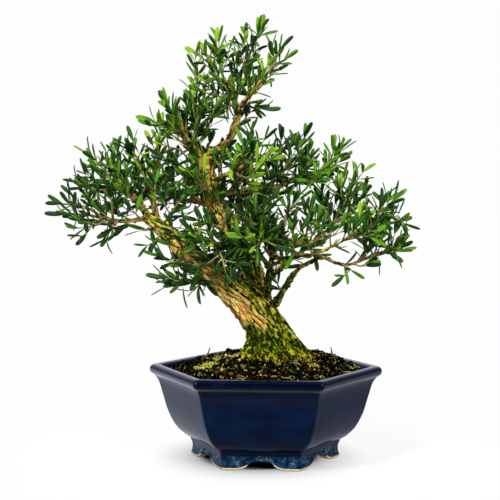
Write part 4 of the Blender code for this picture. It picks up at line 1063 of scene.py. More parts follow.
def thrown_pot():
    """The pot's closed section carried round six sides. Heights in the foot are squeezed up to the arch line,
    so the foot ring opens into an arch in the middle of each side and stands on six cloud feet."""
    section = np.array(POT_SECTION, float)
    closed = np.vstack([section, section[:1]])
    fine = []
    for start, end in zip(closed, closed[1:]):
        count = max(1, int(np.linalg.norm(end[:2] - start[:2]) / SECTION_STEP))
        fine.append(start + (end - start) * np.linspace(0, 1, count, endpoint=False)[:, None])
    section = np.vstack(fine)
    rings = side_of_pot(section[:, 0], section[:, 1], section[:, 2])
    sideways = from_side_middle(rings)
    arch = np.interp(sideways, *np.array(ARCH_OUTLINE, float).T)
    foot = (rings[..., 2] < ARCH_TOP_OF_FOOT) & (section[:, 0] > FOOT_INSIDE)[:, None]
    squeezed = arch + rings[..., 2] * (ARCH_TOP_OF_FOOT - arch) / ARCH_TOP_OF_FOOT
    look = np.zeros((*sideways.shape, 4))
    look[..., 0] = foot & (rings[..., 2] < GLAZE_ENDS_BELOW) & (sideways > BARE_FROM_MIDDLE)
    look[..., 1] = ((section[:, 1] > LIP_HEIGHT) & (section[:, 0] > LIP_RADIUS))[:, None]
    rings[..., 2] = np.where(foot, squeezed, rings[..., 2])
    faces = grid_faces(len(section), rings.shape[1], closed=True)
    return rings.reshape(-1, 3), [faces], look.reshape(-1, 4)


def soil_height(across, along):
    """Height of the soil: a mound (1 - a squared) to the power 1.2, a being the share of its reach."""
    away = np.hypot(across - MOUND_CENTRE[0], along - MOUND_CENTRE[1]) / MOUND_REACH
    mound = SOIL_EDGE + (SOIL_PEAK - SOIL_EDGE) * np.clip(1 - away**2, 0, 1) ** 1.2
    spot = np.stack([across, along, 0 * across], -1)
    return mound + 1.1 * waves(spot, 26, "soil") + 0.5 * waves(spot, 9, "soil lumps")


def soil_crumb_height(across, along):
    """Crumbs on the soil: a dome over each cell of two sizes of random cells."""
    large, _, tone, _ = cells(across / 3.0, along / 3.0, 91, "crumbs")
    small, _, other, _ = cells(across / 1.6, along / 1.6, 91, "small crumbs")
    return 1.2 * (1 - large**2).clip(0) * (0.3 + tone) + 0.6 * (1 - small**2).clip(0) * (0.4 + other), tone


def soil_body():
    """Top of the soil on rings that shrink from the wall to the middle, closed below along the pot's wall."""
    ring_share = np.linspace(1, 0.02, SOIL_RINGS)
    rim = side_of_pot(np.array([SOIL_RADIUS]), np.zeros(1), np.zeros(1))[0]
    top = rim[None] * ring_share[:, None, None]
    lift, tone = soil_crumb_height(top[..., 0], top[..., 1])
    edge = smooth(1.0, 0.97, ring_share)[:, None]
    top[..., 2] = soil_height(top[..., 0], top[..., 1]) + lift * (0.3 + 0.7 * edge) - CRUMBS_SINK
    wall = np.array(SOIL_WALL, float)[::-1]
    under = side_of_pot(wall[:, 0], wall[:, 1], np.zeros(len(wall)))
    rings = np.concatenate([under, top])
    points, faces = capped(rings)
    look = np.zeros((len(points), 4))
    look[len(wall) * rim.shape[0]:-2, 0] = tone.ravel()
    return points, faces, look


def pebble(sides, rings):
    """A ball on a grid of rings and sides, radius one, as points and faces."""
    tilt = np.linspace(0, np.pi, rings + 2)[1:-1, None]
    turn = round_turn(sides)
    shell = np.stack([np.sin(tilt) * np.cos(turn), np.sin(tilt) * np.sin(turn), -np.cos(tilt) + 0 * turn], -1)
    points, faces = capped(shell)
    points[-2:, 2] = (-1, 1)
    return points, faces


def repeated(faces, copies, corners):
    """The blocks of faces of one small shape, for so many copies of it with so many points each."""
    start = (np.arange(copies) * corners)[:, None, None]
    return [(block[None] + start).reshape(-1, block.shape[1]) for block in faces]


def strewn(places, sizes, key):
    """Pebbles of their own shape at these places: balls whose points are pushed in and out at random."""
    rng = draws(key)
    ball, faces = pebble(5, 2)
    count, corners = len(places), len(ball)
    local = ball * rng.uniform(0.72, 1.18, (count, corners, 1)) * rng.uniform(0.75, 1.25, (count, 1, 3))
    x, y = turned(local[..., 0], local[..., 1], rng.uniform(0, 2 * np.pi, (count, 1)))
    points = places[:, None] + np.stack([x, y, local[..., 2]], -1) * sizes[:, None, None]
    return points.reshape(-1, 3), repeated(faces, count, corners), corners


def spread_on_soil(count, key):
    """Random places on the soil inside the pot and clear of the trunk."""
    spots = draws(key).uniform(-STREWN_WITHIN, STREWN_WITHIN, (count * 3, 2))
    turns = (np.arange(POT_SIDES) + 0.5) * 2 * np.pi / POT_SIDES
    outward = (spots @ np.stack([np.cos(turns), np.sin(turns)])).max(1)
    inside = outward < STREWN_WITHIN * np.cos(np.pi / POT_SIDES)
    middle, half = TRUNK_FOOT
    off_trunk = np.hypot(*((spots - middle) / half).T) > 1
    spots = spots[inside & off_trunk][:count]
    return np.column_stack([spots, soil_height(*spots.T)])


def soil_moss(places):
    """How mossy each place on the soil is, and how dry its moss: patches, and a ring round the roots."""
    x, y = places[:, 0], places[:, 1]
    ragged = 0.35 * waves(np.column_stack([x, y, 0 * x]), 9, "moss edge")
    across, along, wide, deep = ROOT_MOSS
    moss = 0.62 * (1 - smooth(0.7, 1.15, np.hypot((x - across) / wide, (y - along) / deep) + 0.5 * ragged))
    dry = 0.45 + 0 * x
    for (across, along), reach, dryness in SOIL_MOSS:
        patch = 1 - smooth(0.5, 1.2, np.hypot(x - across, y - along) / reach + ragged)
        dry = np.where(patch > moss, dryness, dry)
        moss = np.maximum(moss, patch)
    return np.column_stack([moss, dry])


def twig_bits():
    """Broken bits of twig on the soil, a few of which stick up."""
    rng = draws("twig bits")
    bits = []
    for place in spread_on_soil(LYING_BITS, "bit places"):
        turn, lift = rng.uniform(0, 2 * np.pi), rng.uniform(-0.1, 0.35)
        run = np.array((np.cos(turn), np.sin(turn), lift)) * rng.uniform(2.5, 8)
        bend = rng.normal(0, 0.6, 3)
        look = (0, rng.random())
        shape = [place + (0, 0, 1.2), place + run / 2 + bend + (0, 0, 1.3), place + run + (0, 0, 1.2)]
        bits.append(tube(shape, rng.uniform(0.25, 0.6, 3), 5, look, look))
    for x, y, run in STANDING_BITS:
        place = np.array((x, y, soil_height(np.array(x), np.array(y))))
        shape = [place, place + np.array(run) * 0.5, place + run]
        bits.append(tube(shape, [1.1, 0.8, 0.5], 5, (0, 0), (0, 0)))
    return bits


def bark_relief(turn, along, around, length, key, fine):
    """Flaky bark: long plates, each higher toward its lower end and of its own height, between deep cracks,
    with smaller flakes on them. Gives the height from 0 to 1, the depth of cracks and the plate's number."""
    along = along / length
    sway = 0.50 * np.sin(along * 0.9 + 2.0 * np.sin(turn)) + 0.25 * np.sin(along * 2.9 + 3 * turn)
    across = turn / (2 * np.pi) * around + sway
    along = along + (0.6 * np.sin(5 * turn + 1.0) + 0.4 * np.sin(11 * turn + 0.5))
    _, crack, plate, past = cells(across, along, around, key)
    _, small_crack, small, small_past = cells(across * 2, along * 2.1, around * 2, key + " small")
    top = np.clip(crack / 0.42, 0, 1) ** 0.8 * (0.35 + 0.65 * plate - 0.50 * past)
    flake = np.clip(small_crack / 0.40, 0, 1) ** 0.8 * (0.30 + 0.70 * small - 0.5 * small_past)
    return 0.66 * top + 0.34 * flake, np.minimum(crack, small_crack * 0.8 + fine), 0.6 * plate + 0.4 * small


def along_wood(turn, distance, radius, start=0.0):
    """A place for streaks: round a circle of the limb's radius, and a seventh as fast along it."""
    rings = np.stack([radius * np.cos(turn), radius * np.sin(turn), distance / 7 + 0 * turn + start], -1)
    return capped(rings)[0]


def plate_moss(cover, plate):
    """Moss by the plate: more of the plates are mossy the higher the cover is."""
    return smooth(0.35, 0.65, cover + 0.5 * (plate * 17.13 % 1 - 0.5))


def bole_frames(count):
    """Centre, half width, half depth and lean of the trunk at even steps along its middle line."""
    table = Route([(*centre, across, deep, lean) for centre, across, deep, lean in BOLE_SECTIONS])
    distance = np.linspace(0, table.length, count)
    rows = table.at(distance)
    return distance, rows[:, :3], rows[:, 3], rows[:, 4], np.radians(rows[:, 5])


def shaded(points, place, near, far):
    """1 round a place told as middle and half size, out to near times its size, and 0 beyond far times it."""
    middle, half = place
    return 1 - smooth(near, far, np.linalg.norm((points - middle) / half, axis=-1))


def moss_cover(points, share):
    """How mossy the trunk is: most at its foot, about half on its right side, little on its upper left."""
    height = points[..., 2]
    foot = 1.0 * (1 - smooth(106, 118, height + 5 * waves(points, 14, "moss line")))
    right = 0.74 * smooth(-0.45, 0.25, share + 0.3 * waves(points, 22, "moss side"))
    right = right * (1 - smooth(150, 188, height))
    ledge = 0.95 * smooth(0.0, 0.4, -share) * (1 - smooth(116, 126, height + 5 * waves(points, 10, "ledge")))
    return np.clip(np.maximum.reduce([foot, right, ledge, 0.16 + 0.55 * smooth(182, 198, height)]), 0, 1)


def bole():
    """The trunk and left limb as one surface: ellipses on leaning planes along its middle line, with flowing
    ribs near the soil and bark plates all over."""
    along, centre, half_across, half_deep, lean = bole_frames(BOLE_ROWS)
    turn = round_turn(BOLE_SIDES)
    height = centre[:, 2:3]
    above = np.clip(height - SOIL_LINE, -20, 200)
    flare = 1 - smooth(0, 42, above)
    ribs = (0.035 + 0.070 * flare) * np.cos(7 * turn + 0.06 * above + 0.4 * np.sin(2 * turn))
    ribs = ribs + (0.03 + 0.035 * flare) * np.cos(5 * turn + 1.3 - 0.02 * above)
    ribs = ribs + (0.022 + 0.03 * flare) * np.cos(15 * turn + 0.10 * above + 1.6 * np.sin(3 * turn))
    distance = along[:, None] + 0 * turn
    flakes = bark_relief(turn + 0 * height, distance, *PLATES, "bole", 0.12 - 0.13 * flare)
    sinews = bark_relief(turn + 0.004 * above, distance, *SINEWS, "sinews", 0.0)
    foot = smooth(0.30, 0.80, flare + 0.25 * np.cos(9 * turn + 1.0) * (1 - flare))
    relief, crack, plate = (first + (second - first) * foot for first, second in zip(flakes, sinews))
    depth = (1.2 + 2.5 * smooth(4, 18, half_across) + 0.4 * flare[:, 0])[:, None]
    grow = (relief - 0.55) * depth
    side = np.stack([np.cos(lean), 0 * lean, np.sin(lean)], -1)[:, None]
    sideways = ((half_across[:, None] * (1 + ribs) + grow) * np.cos(turn))[..., None] * side
    inward = ((half_deep[:, None] * (1 + ribs) + grow) * np.sin(turn))[..., None] * (0.0, 1.0, 0.0)
    rings = centre[:, None] + sideways + inward
    moss = plate_moss(moss_cover(rings, np.cos(turn) + 0 * height), plate)
    shade = np.maximum(0.9 * shaded(rings, FORK, 0.5, 1.4), 0.70 * shaded(rings, LEDGE, 0.4, 1.3))
    look = np.stack([crack, plate, moss, shade], -1)
    return *capped(rings), with_ends(look), along_wood(turn, along[:, None], half_across[:, None])


def limb_radius(limb, share):
    """The limb's radius a share of the way along: fast taper at first, then slow."""
    _, start, end = CARRIERS[limb]
    return start + (end - start) * share**TAPER


def limb_route(limb):
    """The limb's middle line."""
    return Route(CARRIERS[limb][0])


def limb_surface(name):
    """A limb: rings square to its route, with knuckles, bark plates and a tip that closes."""
    route = limb_route(name)
    start = LIMBS[name][1]
    distance = np.linspace(0, route.length, int(route.length / 1.15) + 2)
    share = distance / route.length
    first, second = carried(route.heading(distance), (0, 1, 0.2))
    turn = round_turn(int(np.clip(start * 6.5, 16, 76)))
    radius = limb_radius(name, share)[:, None]
    if name in LIMB_SWELLS:
        begin, reached, swell = LIMB_SWELLS[name]
        radius = radius * (1 + swell * smooth(begin, reached, share)[:, None])
    number = sum(map(ord, name))
    along = distance[:, None]
    knuckles = 0.13 * np.sin(along / 4.3 + number) ** 3 + 0.08 * np.sin(along / 9.1 + 2 * number)
    spurs = smooth(0.25, 0.95, np.sin(along / 1.15 + number + 1.6 * np.sin(along / 4.1)))
    spurs = spurs * smooth(-0.2, 0.9, np.cos(turn - along / 2.3)) * (1 - smooth(2.6, 5.0, radius))
    bulge = 1 + knuckles * (1 + 0.5 * np.cos(turn + along / 7)) + 0.55 * spurs
    plates = max(6, int(start * 2.4)), 6 + start * 0.6
    relief, crack, plate = bark_relief(turn + 0 * radius, along + 0 * turn, *plates, name, 0.02)
    size = radius * bulge + (relief - 0.55) * (0.30 * radius).clip(0.45, 2.8)
    rings = route.at(distance)[:, None] + size[..., None] * round_line(turn, first, second)
    cover = (1 - smooth(158, 200, rings[..., 2])) * 0.45 + 0.32 + 0.25 * waves(rings, 16, name)
    moss = plate_moss(cover.clip(0, 1), plate)
    shade = 0.38 * (1 - smooth(3.2, 8.0, radius)) * (0.6 + 0.8 * plate) + 0.45 * spurs + 0 * crack
    look = np.stack([crack, plate, moss, shade.clip(0, 1)], -1)
    return *capped(rings), with_ends(look), along_wood(turn, along, radius, number)


def tube(points, radii, sides, base, tip):
    """A plain closed tube through the points; base and tip tell how green and how light its bark is there."""
    points = np.asarray(points, float)
    first, second = carried(unit(np.gradient(points, axis=0)), (0.3, 1, 0.2))
    rings = points[:, None] + np.asarray(radii)[:, None, None] * round_line(round_turn(sides), first, second)
    share = np.r_[np.repeat(np.linspace(0, 1, len(points)), sides), 0, 1][:, None]
    base, tip = np.array((*base, 0, 0)), np.array((*tip, 0, 0))
    return *capped(rings), base + (tip - base) * share


def twig_wood(line, count, radii, sides, base, tip=(1, 0.5)):
    """A twig's wood: a tube of so many rings along its line, whose radius shrinks evenly to its tip."""
    steps = np.linspace(0, line.length, count)
    return tube(line.at(steps), np.interp(steps, [0, line.length], radii), sides, base, tip)


def leaf_template():
    """A leaf of length and half width one: six points a station, the upper side folded to a sunk midrib.

    Gives the points as along, across and up, and which of them are on the underside."""
    stations = np.array(LEAF_OUTLINE, float)
    across = np.array([-1.0, -0.5, 0.0, 0.5, 1.0, 0.0])
    up = np.array([0.0, 0.30, 0.10, 0.30, 0.0, -0.16])
    along = np.repeat(stations[:, 0], 6)
    width = np.repeat(stations[:, 1], 6)
    points = np.stack([along, width * np.tile(across, len(stations)), width * np.tile(up, len(stations))], 1)
    points = np.vstack([points, (-0.04, 0, 0), (1.0, 0, 0)])
    under = np.r_[np.tile([0.5, 0.0, 0.0, 0.0, 0.5, 1.0], len(stations)), 0.5, 0.3]
    side = np.r_[np.tile(across, len(stations)), 0, 0]
    faces = capped(np.zeros((len(stations), 6, 3)))[1]
    return points, under, side, [block[:, ::-1] for block in faces]


def grown_leaves(leaves, settings):
    """All leaves of a spray at once: the template bent along an arc, cupped, and set on its twig.

    leaves has a row each: root, direction, upper side (three numbers each), length share, arch, cup, tone
    and youth. A point lies along the direction, across to the side, and up by the template's height, cup
    times the distance across, and minus arch times along squared."""
    leaves = np.asarray(leaves)
    template, under, side_share, faces = leaf_template()
    root, direction, upper = leaves[:, None, 0:3], leaves[:, None, 3:6], leaves[:, None, 6:9]
    share, arch, cup, tone, young = leaves[:, 9:].T
    length = (share * settings.leaf_length / MM)[:, None]
    half = (share**0.6 * settings.leaf_width / MM / 2)[:, None]
    along = template[:, 0] * length
    across = template[:, 1] * half
    up = template[:, 2] * half * 0.8
    up = up + cup[:, None] * np.abs(template[:, 1]) * half - arch[:, None] * template[:, 0] ** 2 * length
    beside = np.cross(upper, direction)
    points = root + direction * along[..., None] + beside * across[..., None] + upper * up[..., None]
    look = np.stack(np.broadcast_arrays(tone[:, None], young[:, None], under, 1), -1)
    place = np.tile(np.stack([side_share, template[:, 0]], -1), (len(leaves), 1))
    return points.reshape(-1, 3), repeated(faces, len(leaves), len(template)), look.reshape(-1, 4), place


def frame_about(heading):
    """Two directions square to a twig, the first as near to sideways as it can be."""
    beside = unit(np.cross(heading, (0.2, -0.3, 1.0)))
    return beside, np.cross(heading, beside)


def leaf_row(place, heading, outward, tilt, size, tone, young, rng, roll=0.0, skyward=SKYWARD):
    """One leaf: it leans tilt away from its twig, a little skyward, with its upper side toward the tip."""
    direction = unit(heading * np.cos(tilt) + outward * np.sin(tilt) + np.array((0, 0, skyward)))
    upper = unit(heading - direction * np.dot(heading, direction))
    upper = upper * np.cos(roll) + np.cross(direction, upper) * np.sin(roll)
    arch, cup = rng.uniform(-0.06, 0.20), rng.uniform(-0.05, 0.30)
    return [*place, *direction, *upper, size, arch, cup, tone, young]


def packed_leaves(name, line, tone, youth):
    """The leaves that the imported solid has: four pairs back from the tip, the last with one leaf."""
    number = list(SPRAYS).index(name)
    rng = draws(name, "packed")
    phase = np.random.default_rng([SEED, number, 4]).uniform(-1, 1, 1)[0] * np.pi
    leaves = []
    for pair in range(CAD_PAIRS):
        distance = line.length - 1 - CAD_PAIR_SPACING * pair
        place, heading = line.at(distance), line.heading(distance)
        beside, across = frame_about(heading)
        chance = np.random.default_rng([SEED, number, pair]).uniform(-1, 1, 6)
        for side in (0, 1):
            angle = phase + pair * np.pi / 2 + np.pi * side + 0.25 * chance[side]
            outward = beside * np.cos(angle) + across * np.sin(angle)
            tilt = 0.50 + 0.16 * pair + 0.14 * chance[2 + side]
            size = 0.9 + 0.12 * chance[4 + side]
            young = np.clip(youth - 0.14 * pair + rng.uniform(-0.1, 0.1), 0, 1)
            leaves.append(leaf_row(place, heading, outward, tilt, size, leaf_tone(rng, tone), young, rng))
    return leaves[:CAD_LEAVES]


def from_front(points):
    """Points as the camera's side sees them: how far across and how far up."""
    turn = np.radians(VIEW_TURN)
    return np.column_stack([points @ (np.cos(turn), np.sin(turn), 0), points[:, 2]])


def pruned(leaves, rng):
    """The leaves without those in the clearings and most of those in front of the limbs kept in sight.

    Seen from the front, a leaf goes when its middle lies in a clearing's ellipse, or nearer to a limb's line
    than the reach given."""
    rows = np.asarray(leaves, float).reshape(-1, LEAF_NUMBERS)
    middle = rows[:, :3] + rows[:, 3:6] * HALF_LEAF
    seen = from_front(middle)
    gone = np.zeros(len(rows), bool)
    for centre, half in CLEARINGS:
        gone |= (((seen - centre) / half) ** 2).sum(1) < 1
    for limb, low, high, reach in IN_SIGHT:
        route = limb_route(limb)
        line = route.at(np.linspace(low, high, 40) * route.length)
        gaps = np.hypot(*(seen[:, None] - from_front(line)).T).T
        covers = (gaps.min(1) < reach) & (middle[:, 1] < line[gaps.argmin(1), 1])
        gone |= covers & (rng.random(len(rows)) > LEFT_IN_FRONT)
    return [row for row, out in zip(leaves, gone) if not out]


def shoot_tone_and_painted_light(rng, tip):
    """A shoot's green by its tip's place, with painted light high up and on the right and painted shade in
    the middle.
    """
    across, _, up = tip
    middle = (1 - smooth(25, 55, abs(across + 15))) * (1 - smooth(225, 260, up))
    high, right = smooth(195, 320, up), smooth(15, 60, across)
    return rng.uniform(0.06, 0.52) + 0.34 * high + 0.26 * right - 0.26 * middle


def leaf_tone(rng, tone):
    """A leaf's own shade of green round its shoot's."""
    return np.clip(tone + rng.normal(0, 0.27), 0, 1)


def leaf_pairs(line, rng, tone, youth, first_gap=0.5, spacing=PAIR_SPACING, size=1.0, base_gap=3.0):
    """Opposite pairs from the tip of a twig back to its base, each turned a quarter from the last and opening
    wider than it; the tip's leaves are the youngest and the smallest."""
    phase = rng.uniform(-np.pi, np.pi)
    leaves = []
    distance, pair = line.length - first_gap, 0
    while distance > base_gap:
        place, heading = line.at(distance), line.heading(distance)
        beside, across = frame_about(heading)
        for side in (0, 1):
            if pair > 2 and rng.random() < 0.15:
                continue
            angle = phase + pair * np.pi / 2 + np.pi * side + rng.uniform(-0.3, 0.3)
            outward = beside * np.cos(angle) + across * np.sin(angle)
            tilt = OPENING[min(pair, 4)] + rng.uniform(-0.2, 0.2)
            roll = rng.uniform(-0.2, 0.2) if rng.random() < 0.75 else rng.uniform(-1.0, 1.0)
            young = np.clip(youth + rng.uniform(-0.12, 0.15) - 0.15 * pair, 0, 1)
            grown = size * TIP_SIZES[min(pair, 3)] * rng.uniform(0.86, 1.12)
            shade = leaf_tone(rng, tone)
            row = leaf_row(place, heading, outward, tilt, grown, shade, young, rng, roll, SKYWARD_OTHERS)
            leaves.append(row)
        distance -= spacing * rng.uniform(0.8, 1.25)
        pair += 1
    return leaves


def side_twigs(line, rng, count, length, low, high):
    """Side twigs off a line, spiralling round it, shorter toward its tip and turning up."""
    twigs = []
    spiral = rng.uniform(0, 2 * np.pi)
    for number in range(count):
        share = low + (high - low) * (number + rng.uniform(0.2, 0.8)) / count
        place, heading = line.at(share * line.length), line.heading(share * line.length)
        beside, across = frame_about(heading)
        angle = spiral + number * SPIRAL
        outward = beside * np.cos(angle) + across * np.sin(angle)
        tilt = rng.uniform(0.6, 1.1)
        direction = unit(heading * np.cos(tilt) + outward * np.sin(tilt) + np.array((0, 0, 0.25)))
        reach = length * rng.uniform(0.65, 1.1) * (1.15 - 0.45 * share)
        bend = place + direction * reach * 0.5
        tip = bend + unit(direction + heading * 0.3 + np.array((0, 0, 0.35))) * reach * 0.5
        twigs.append(Route([place, bend, tip], 4))
    return twigs


def spray_twig(name):
    """The twig of a spray, from the axis of what carries it, straight out through its stub, to its tip."""
    carrier, share, points, _ = ALL_SPRAYS[name]
    line = limb_route(carrier)
    route = Route([line.at(share * line.length), *points])
    if name not in SPRAYS:
        return route
    cut = limb_radius(carrier, share) + STUB_REACH
    end = route.at(cut)
    heading = unit(end - route.at(0))
    count = max(2, round((route.length - cut - 7) / 16) + 1)
    rest = route.at(np.linspace(cut + 7, route.length, count))
    return Route([route.at(0), end + heading * 0.3, end + heading * 2.5, *rest], 6)


def leafy_spray(name):
    """One spray: its twig, side twigs and all their leaves."""
    carrier, share, _, youth = ALL_SPRAYS[name]
    rng = draws(name)
    line = spray_twig(name)
    tone = shoot_tone_and_painted_light(rng, line.at(line.length))
    wood = [twig_wood(line, max(5, int(line.length / 4)), TWIG_RADII, 6, (0, rng.random()), (0.9, 0.5))]
    packed, youngest, bare_tip = [], youth, 0.6
    if name in SPRAYS:
        packed, youngest = packed_leaves(name, line, tone, youth), 0.0
        bare_tip = 1 + CAD_PAIR_SPACING * (CAD_PAIRS - 0.2)
    bare_base = limb_radius(carrier, share) + 5
    leaves = leaf_pairs(line, rng, tone, youngest, bare_tip, base_gap=bare_base)
    count = SIDE_TWIGS.get(name, max(1, round(line.length / 13)))
    for twig in side_twigs(line, rng, count, SIDE_LENGTH, 0.15, 0.72):
        wood.append(twig_wood(twig, 6, SIDE_RADII, 5, (0.3, rng.random())))
        leaves += leaf_pairs(twig, rng, tone, youth * 0.8 + 0.1, 0.5, PAIR_SPACING * 0.95, 0.94)
    return wood, packed + pruned(leaves, rng)


def limb_shoots(limb, low, high, count, length):
    """Short leafy shoots that sprout from a limb itself, most of them from its upper side."""
    rng = draws(limb, "shoots")
    line = limb_route(limb)
    wood, leaves = [], []
    for twig in side_twigs(line, rng, count, length, low, high):
        wood.append(twig_wood(twig, 7, SHOOT_RADII, 5, (0.1, rng.random())))
        youth = rng.choice([0.0, 0.25, 0.65], p=[0.55, 0.3, 0.15])
        tone = shoot_tone_and_painted_light(rng, twig.at(twig.length))
        leaves += leaf_pairs(twig, rng, tone, youth, size=0.96, base_gap=limb_radius(limb, 0.5) + 3)
        for branch in side_twigs(twig, rng, int(rng.random() < 0.5), BRANCH_LENGTH, 0.4, 0.7):
            wood.append(twig_wood(branch, 5, BRANCH_RADII, 4, (0.5, 0.5)))
            leaves += leaf_pairs(branch, rng, tone, youth, size=0.88)
    return wood, pruned(leaves, rng)


def moss_spikes(places, directions, sizes, tones):
    """Stems of moss: each a slim three-sided spike on its place, leaning its own way."""
    beside = unit(np.cross(directions, (0.31, 0.17, 0.9)))
    across = np.cross(directions, beside)
    sizes = sizes[:, None, None]
    base = round_line(round_turn(3), beside, across)
    base = places[:, None] - directions[:, None] * 0.3 + base * 0.17 * sizes
    tip = places[:, None] + directions[:, None] * sizes
    faces = repeated([np.array([(0, 1, 3), (1, 2, 3), (2, 0, 3), (2, 1, 0)])], len(places), 4)
    look = np.zeros((len(places), 4, 4))
    look[..., 0] = tones[:, None]
    look[:, 3, 1] = 1
    return np.concatenate([base, tip], 1).reshape(-1, 3), faces, look.reshape(-1, 4)


class BuildPot(bpy.types.Operator):
    """Turns the glazed pot with its rolled rim and six cloud feet"""

    bl_idname = "bonsai.pot"
    bl_label = "Glazed pot"

    def execute(self, context):
        points, faces, look = thrown_pot()
        add_piece("glazed_pot", points, faces, glaze(context.scene.bonsai_pot), ["pot"], look)
        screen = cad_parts["drain_screen"].data.materials
        screen.clear()
        screen.append(net_plastic())
        return {"FINISHED"}


class BuildSoil(bpy.types.Operator):
    """Fills the pot with potting mix and strews crumbs, coloured grit and bits of twig on it"""

    bl_idname = "bonsai.soil"
    bl_label = "Soil"

    def execute(self, context):
        settings = context.scene.bonsai_pot
        mix = soil_mix(settings)
        points, faces, look = soil_body()
        add_piece("potting_mix", points, faces, mix, ["soil"], look)
        rng = draws("crumb sizes")
        self.strew(rng, "soil_crumbs", "crumb", mix, settings.crumbs, *CRUMBS, mossy=True)
        self.strew(rng, "soil_grit", "grain", grit(settings), settings.grains, *GRAINS)
        points, faces, look = joined(twig_bits())
        add_piece("twig_bits", points, faces, twig_bark(context.scene.bonsai_tree), look=look)
        return {"FINISHED"}

    def strew(self, rng, name, key, material, count, spread, largest, lift, mossy=False):
        """Strews grains on the soil: radii by a gamma distribution of this shape and scale, up to the
        largest, and each lifted by the first number and the second times its radius."""
        places = spread_on_soil(count, key + " places")
        sizes = rng.gamma(*spread, len(places)).clip(SMALLEST_GRAIN, largest)
        places[:, 2] += lift[0] + lift[1] * sizes
        points, faces, corners = strewn(places, sizes, key + " shapes")
        look = np.zeros((len(points), 4))
        look[:, 0] = np.repeat(rng.random(len(places)), corners)
        if mossy:
            look[:, 1:3] = np.repeat(soil_moss(places), corners, axis=0)
        add_piece(name, points, faces, material, look=look)


class BuildTrunk(bpy.types.Operator):
    """Grows the trunk and its limbs with flaky bark"""

    bl_idname = "bonsai.trunk"
    bl_label = "Trunk and limbs"

    def execute(self, context):
        skin = bark(context.scene.bonsai_tree)
        points, faces, look, grain = bole()
        add_piece("trunk_and_left_limb", points, faces, skin, ["trunk"], look, grain=grain)
        *limbs, grains = zip(*[limb_surface(name) for name in LIMBS])
        points, faces, look = joined(zip(*limbs))
        add_piece("limbs", points, faces, skin, look=look, grain=np.vstack(grains))
        return {"FINISHED"}


class BuildMoss(bpy.types.Operator):
    """Sets short stems of moss on the foot of the trunk"""

    bl_idname = "bonsai.moss"
    bl_label = "Moss"

    def execute(self, context):
        settings = context.scene.bonsai_tree
        rng = draws("moss stems")
        points, _, look, _ = bole()
        normals = np.empty(points.size, np.float32)
        bpy.data.objects["trunk_and_left_limb"].data.vertex_normals.foreach_get("vector", normals)
        height = points[:, 2]
        lowest, thinner, none = MOSS_STEMS
        weight = look[:, 2] ** 3 * (height > lowest) * (1 - smooth(thinner, none, height)) + 1e-9
        chosen = rng.choice(len(points), settings.moss_tufts, p=weight / weight.sum())
        places = points[chosen] + rng.normal(0, 0.4, (len(chosen), 3))
        upward = normals.reshape(-1, 3)[chosen] + (0, 0, 0.45)
        directions = unit(upward + rng.normal(0, 0.35, (len(chosen), 3)))
        sizes = rng.uniform(0.7, 1.9, len(chosen))
        tones = np.clip(rng.normal(0.5, 0.25, len(chosen)), 0, 1)
        points, faces, look = moss_spikes(places, directions, sizes, tones)
        add_piece("trunk_moss", points, faces, moss_green(settings), look=look)
        return {"FINISHED"}


class BuildLeaves(bpy.types.Operator):
    """Grows every leafy spray, and the short shoots along the limbs"""

    bl_idname = "bonsai.leaves"
    bl_label = "Leafy sprays"

    def execute(self, context):
        settings = context.scene.bonsai_tree
        skin, stem = leaf_skin(settings), twig_bark(settings)
        grown = {"leafy_" + name: leafy_spray(name) for name in ALL_SPRAYS}
        grown.update({"shoots_on_" + limb: limb_shoots(limb, *rest) for limb, *rest in SHOOTS})
        for name, (wood, leaves) in grown.items():
            packed = name.replace("leafy_", "spray_")
            points, faces, look, coordinates = grown_leaves(leaves, settings)
            replaced = [packed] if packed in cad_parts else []
            add_piece(name, points, faces, skin, replaced, look, coordinates)
            points, faces, look = joined(wood)
            add_piece(name + "_twigs", points, faces, stem, look=look)
        return {"FINISHED"}


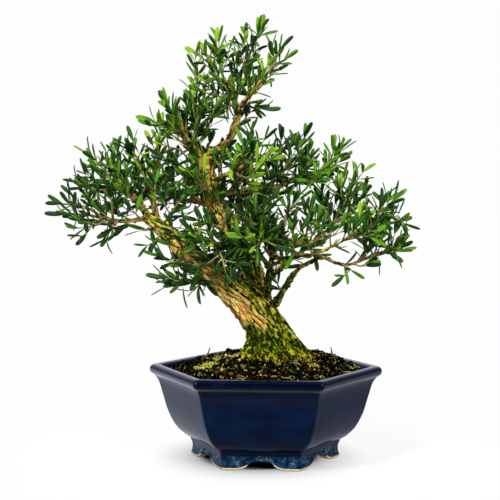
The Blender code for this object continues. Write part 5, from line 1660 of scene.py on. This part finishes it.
class BuildStage(bpy.types.Operator):
    """Lays the white backdrop and sets the lights and the camera"""

    bl_idname = "bonsai.stage"
    bl_label = "Stage"

    def execute(self, context):
        scene, settings = context.scene, context.scene.bonsai_stage
        scene.view_settings.view_transform = "Standard"
        scene.world = self.room(settings)
        reach, turn = np.array(FLOOR_RADII)[:, None] / MM, round_turn(FLOOR_SIDES)
        rings = np.stack([reach * np.cos(turn), reach * np.sin(turn), 0 * reach * turn], -1)
        points, (squares, middle, _) = capped(rings)
        faces = [squares[:, ::-1], middle[:, ::-1]]
        add_piece("floor", points[:-1], faces, backdrop_paper(settings), stage=True)
        for name, kind, strength, place, width, missing in LAMPS:
            light = bpy.data.lights.new(name, kind)
            light.energy = getattr(settings, strength)
            setattr(light, "angle" if kind == "SUN" else "size", width)
            lamp = bpy.data.objects.new(name, light)
            setattr(lamp, missing, False)
            back = unit(np.array(place) - LAMP_AIM)
            self.stand(lamp, unit(np.cross((0, 0, 1), back)), back, place)
        scene.camera = self.camera(settings.distance)
        return {"FINISHED"}

    def stand(self, thing, right, back, place):
        """Puts a lamp or the camera into the scene at a place, its right side and its back toward these."""
        bpy.context.scene.collection.objects.link(thing)
        rows = np.stack([right, np.cross(back, right), back, place], 1)
        thing.matrix_world = Matrix([*rows, (0, 0, 0, 1)])

    def room(self, settings):
        """Light from all round: weak from behind the camera, weaker from the right than from the left."""
        sky = Sky("studio")
        direction = sky.node("ShaderNodeTexCoord", output="Generated")
        across, along = (sky.axis(direction, axis) for axis in "XY")
        behind = along.step(-0.85, -0.25) * (1 - settings.dark_side) + settings.dark_side
        walls = behind * (1 - across.step(-0.6, 0.6) * settings.right_drop) * settings.room
        far_wall = along.step(0.60, 0.95) * settings.room * FAR_WALL
        gloss = sky.ray("Glossy")
        lit = walls + far_wall * gloss
        sky.feed(Strength=lit + sky.ray("Camera") * (HORIZON - lit))
        sky.feed(Color=sky.mix(gloss, (1, 1, 1), settings.gloss_colour))
        return sky.world

    def camera(self, distance):
        """The camera, so far from the point that it looks at, a little to the right and a little above."""
        turn, rise = np.radians(VIEW_TURN), np.radians(VIEW_RISE)
        back = np.array([np.sin(turn) * np.cos(rise), -np.cos(turn) * np.cos(rise), np.sin(rise)])
        right = np.array([np.cos(turn), np.sin(turn), 0])
        lens = bpy.data.cameras.new("camera")
        lens.sensor_fit = "HORIZONTAL"
        lens.sensor_width = SENSOR_WIDTH
        lens.lens = FOCAL_LENGTH / PICTURE_WIDTH * SENSOR_WIDTH
        lens.clip_end = 100
        camera = bpy.data.objects.new("camera", lens)
        self.stand(camera, right, back, (right * AIM[0] + (0, 0, AIM[1]) + HOME) * MM + back * distance)
        return camera


STEPS = (BuildPot, BuildSoil, BuildTrunk, BuildMoss, BuildLeaves, BuildStage)
GROUPS = {"bonsai_pot": PotSettings, "bonsai_tree": TreeSettings, "bonsai_stage": StageSettings}


class BonsaiPanel(bpy.types.Panel):
    """Lists the steps that build the bonsai, and what can be changed"""

    bl_idname = "VIEW3D_PT_bonsai"
    bl_label = "Boxwood bonsai"
    bl_space_type = "VIEW_3D"
    bl_region_type = "UI"
    bl_category = "Bonsai"

    def draw(self, context):
        for group in GROUPS:
            box = self.layout.box()
            for name in getattr(context.scene, group).bl_rna.properties.keys()[2:]:
                box.prop(getattr(context.scene, group), name)
        for step in STEPS:
            self.layout.operator(step.bl_idname)


def register():
    for group, kind in GROUPS.items():
        bpy.utils.register_class(kind)
        setattr(bpy.types.Scene, group, bpy.props.PointerProperty(type=kind))
    for kind in (*STEPS, BonsaiPanel):
        bpy.utils.register_class(kind)


def unregister():
    for kind in (BonsaiPanel, *reversed(STEPS)):
        bpy.utils.unregister_class(kind)
    for group, kind in GROUPS.items():
        delattr(bpy.types.Scene, group)
        bpy.utils.unregister_class(kind)


def main():
    register()
    for step in STEPS:
        family, name = step.bl_idname.split(".")
        getattr(getattr(bpy.ops, family), name)()


if __name__ == "__main__":
    main()
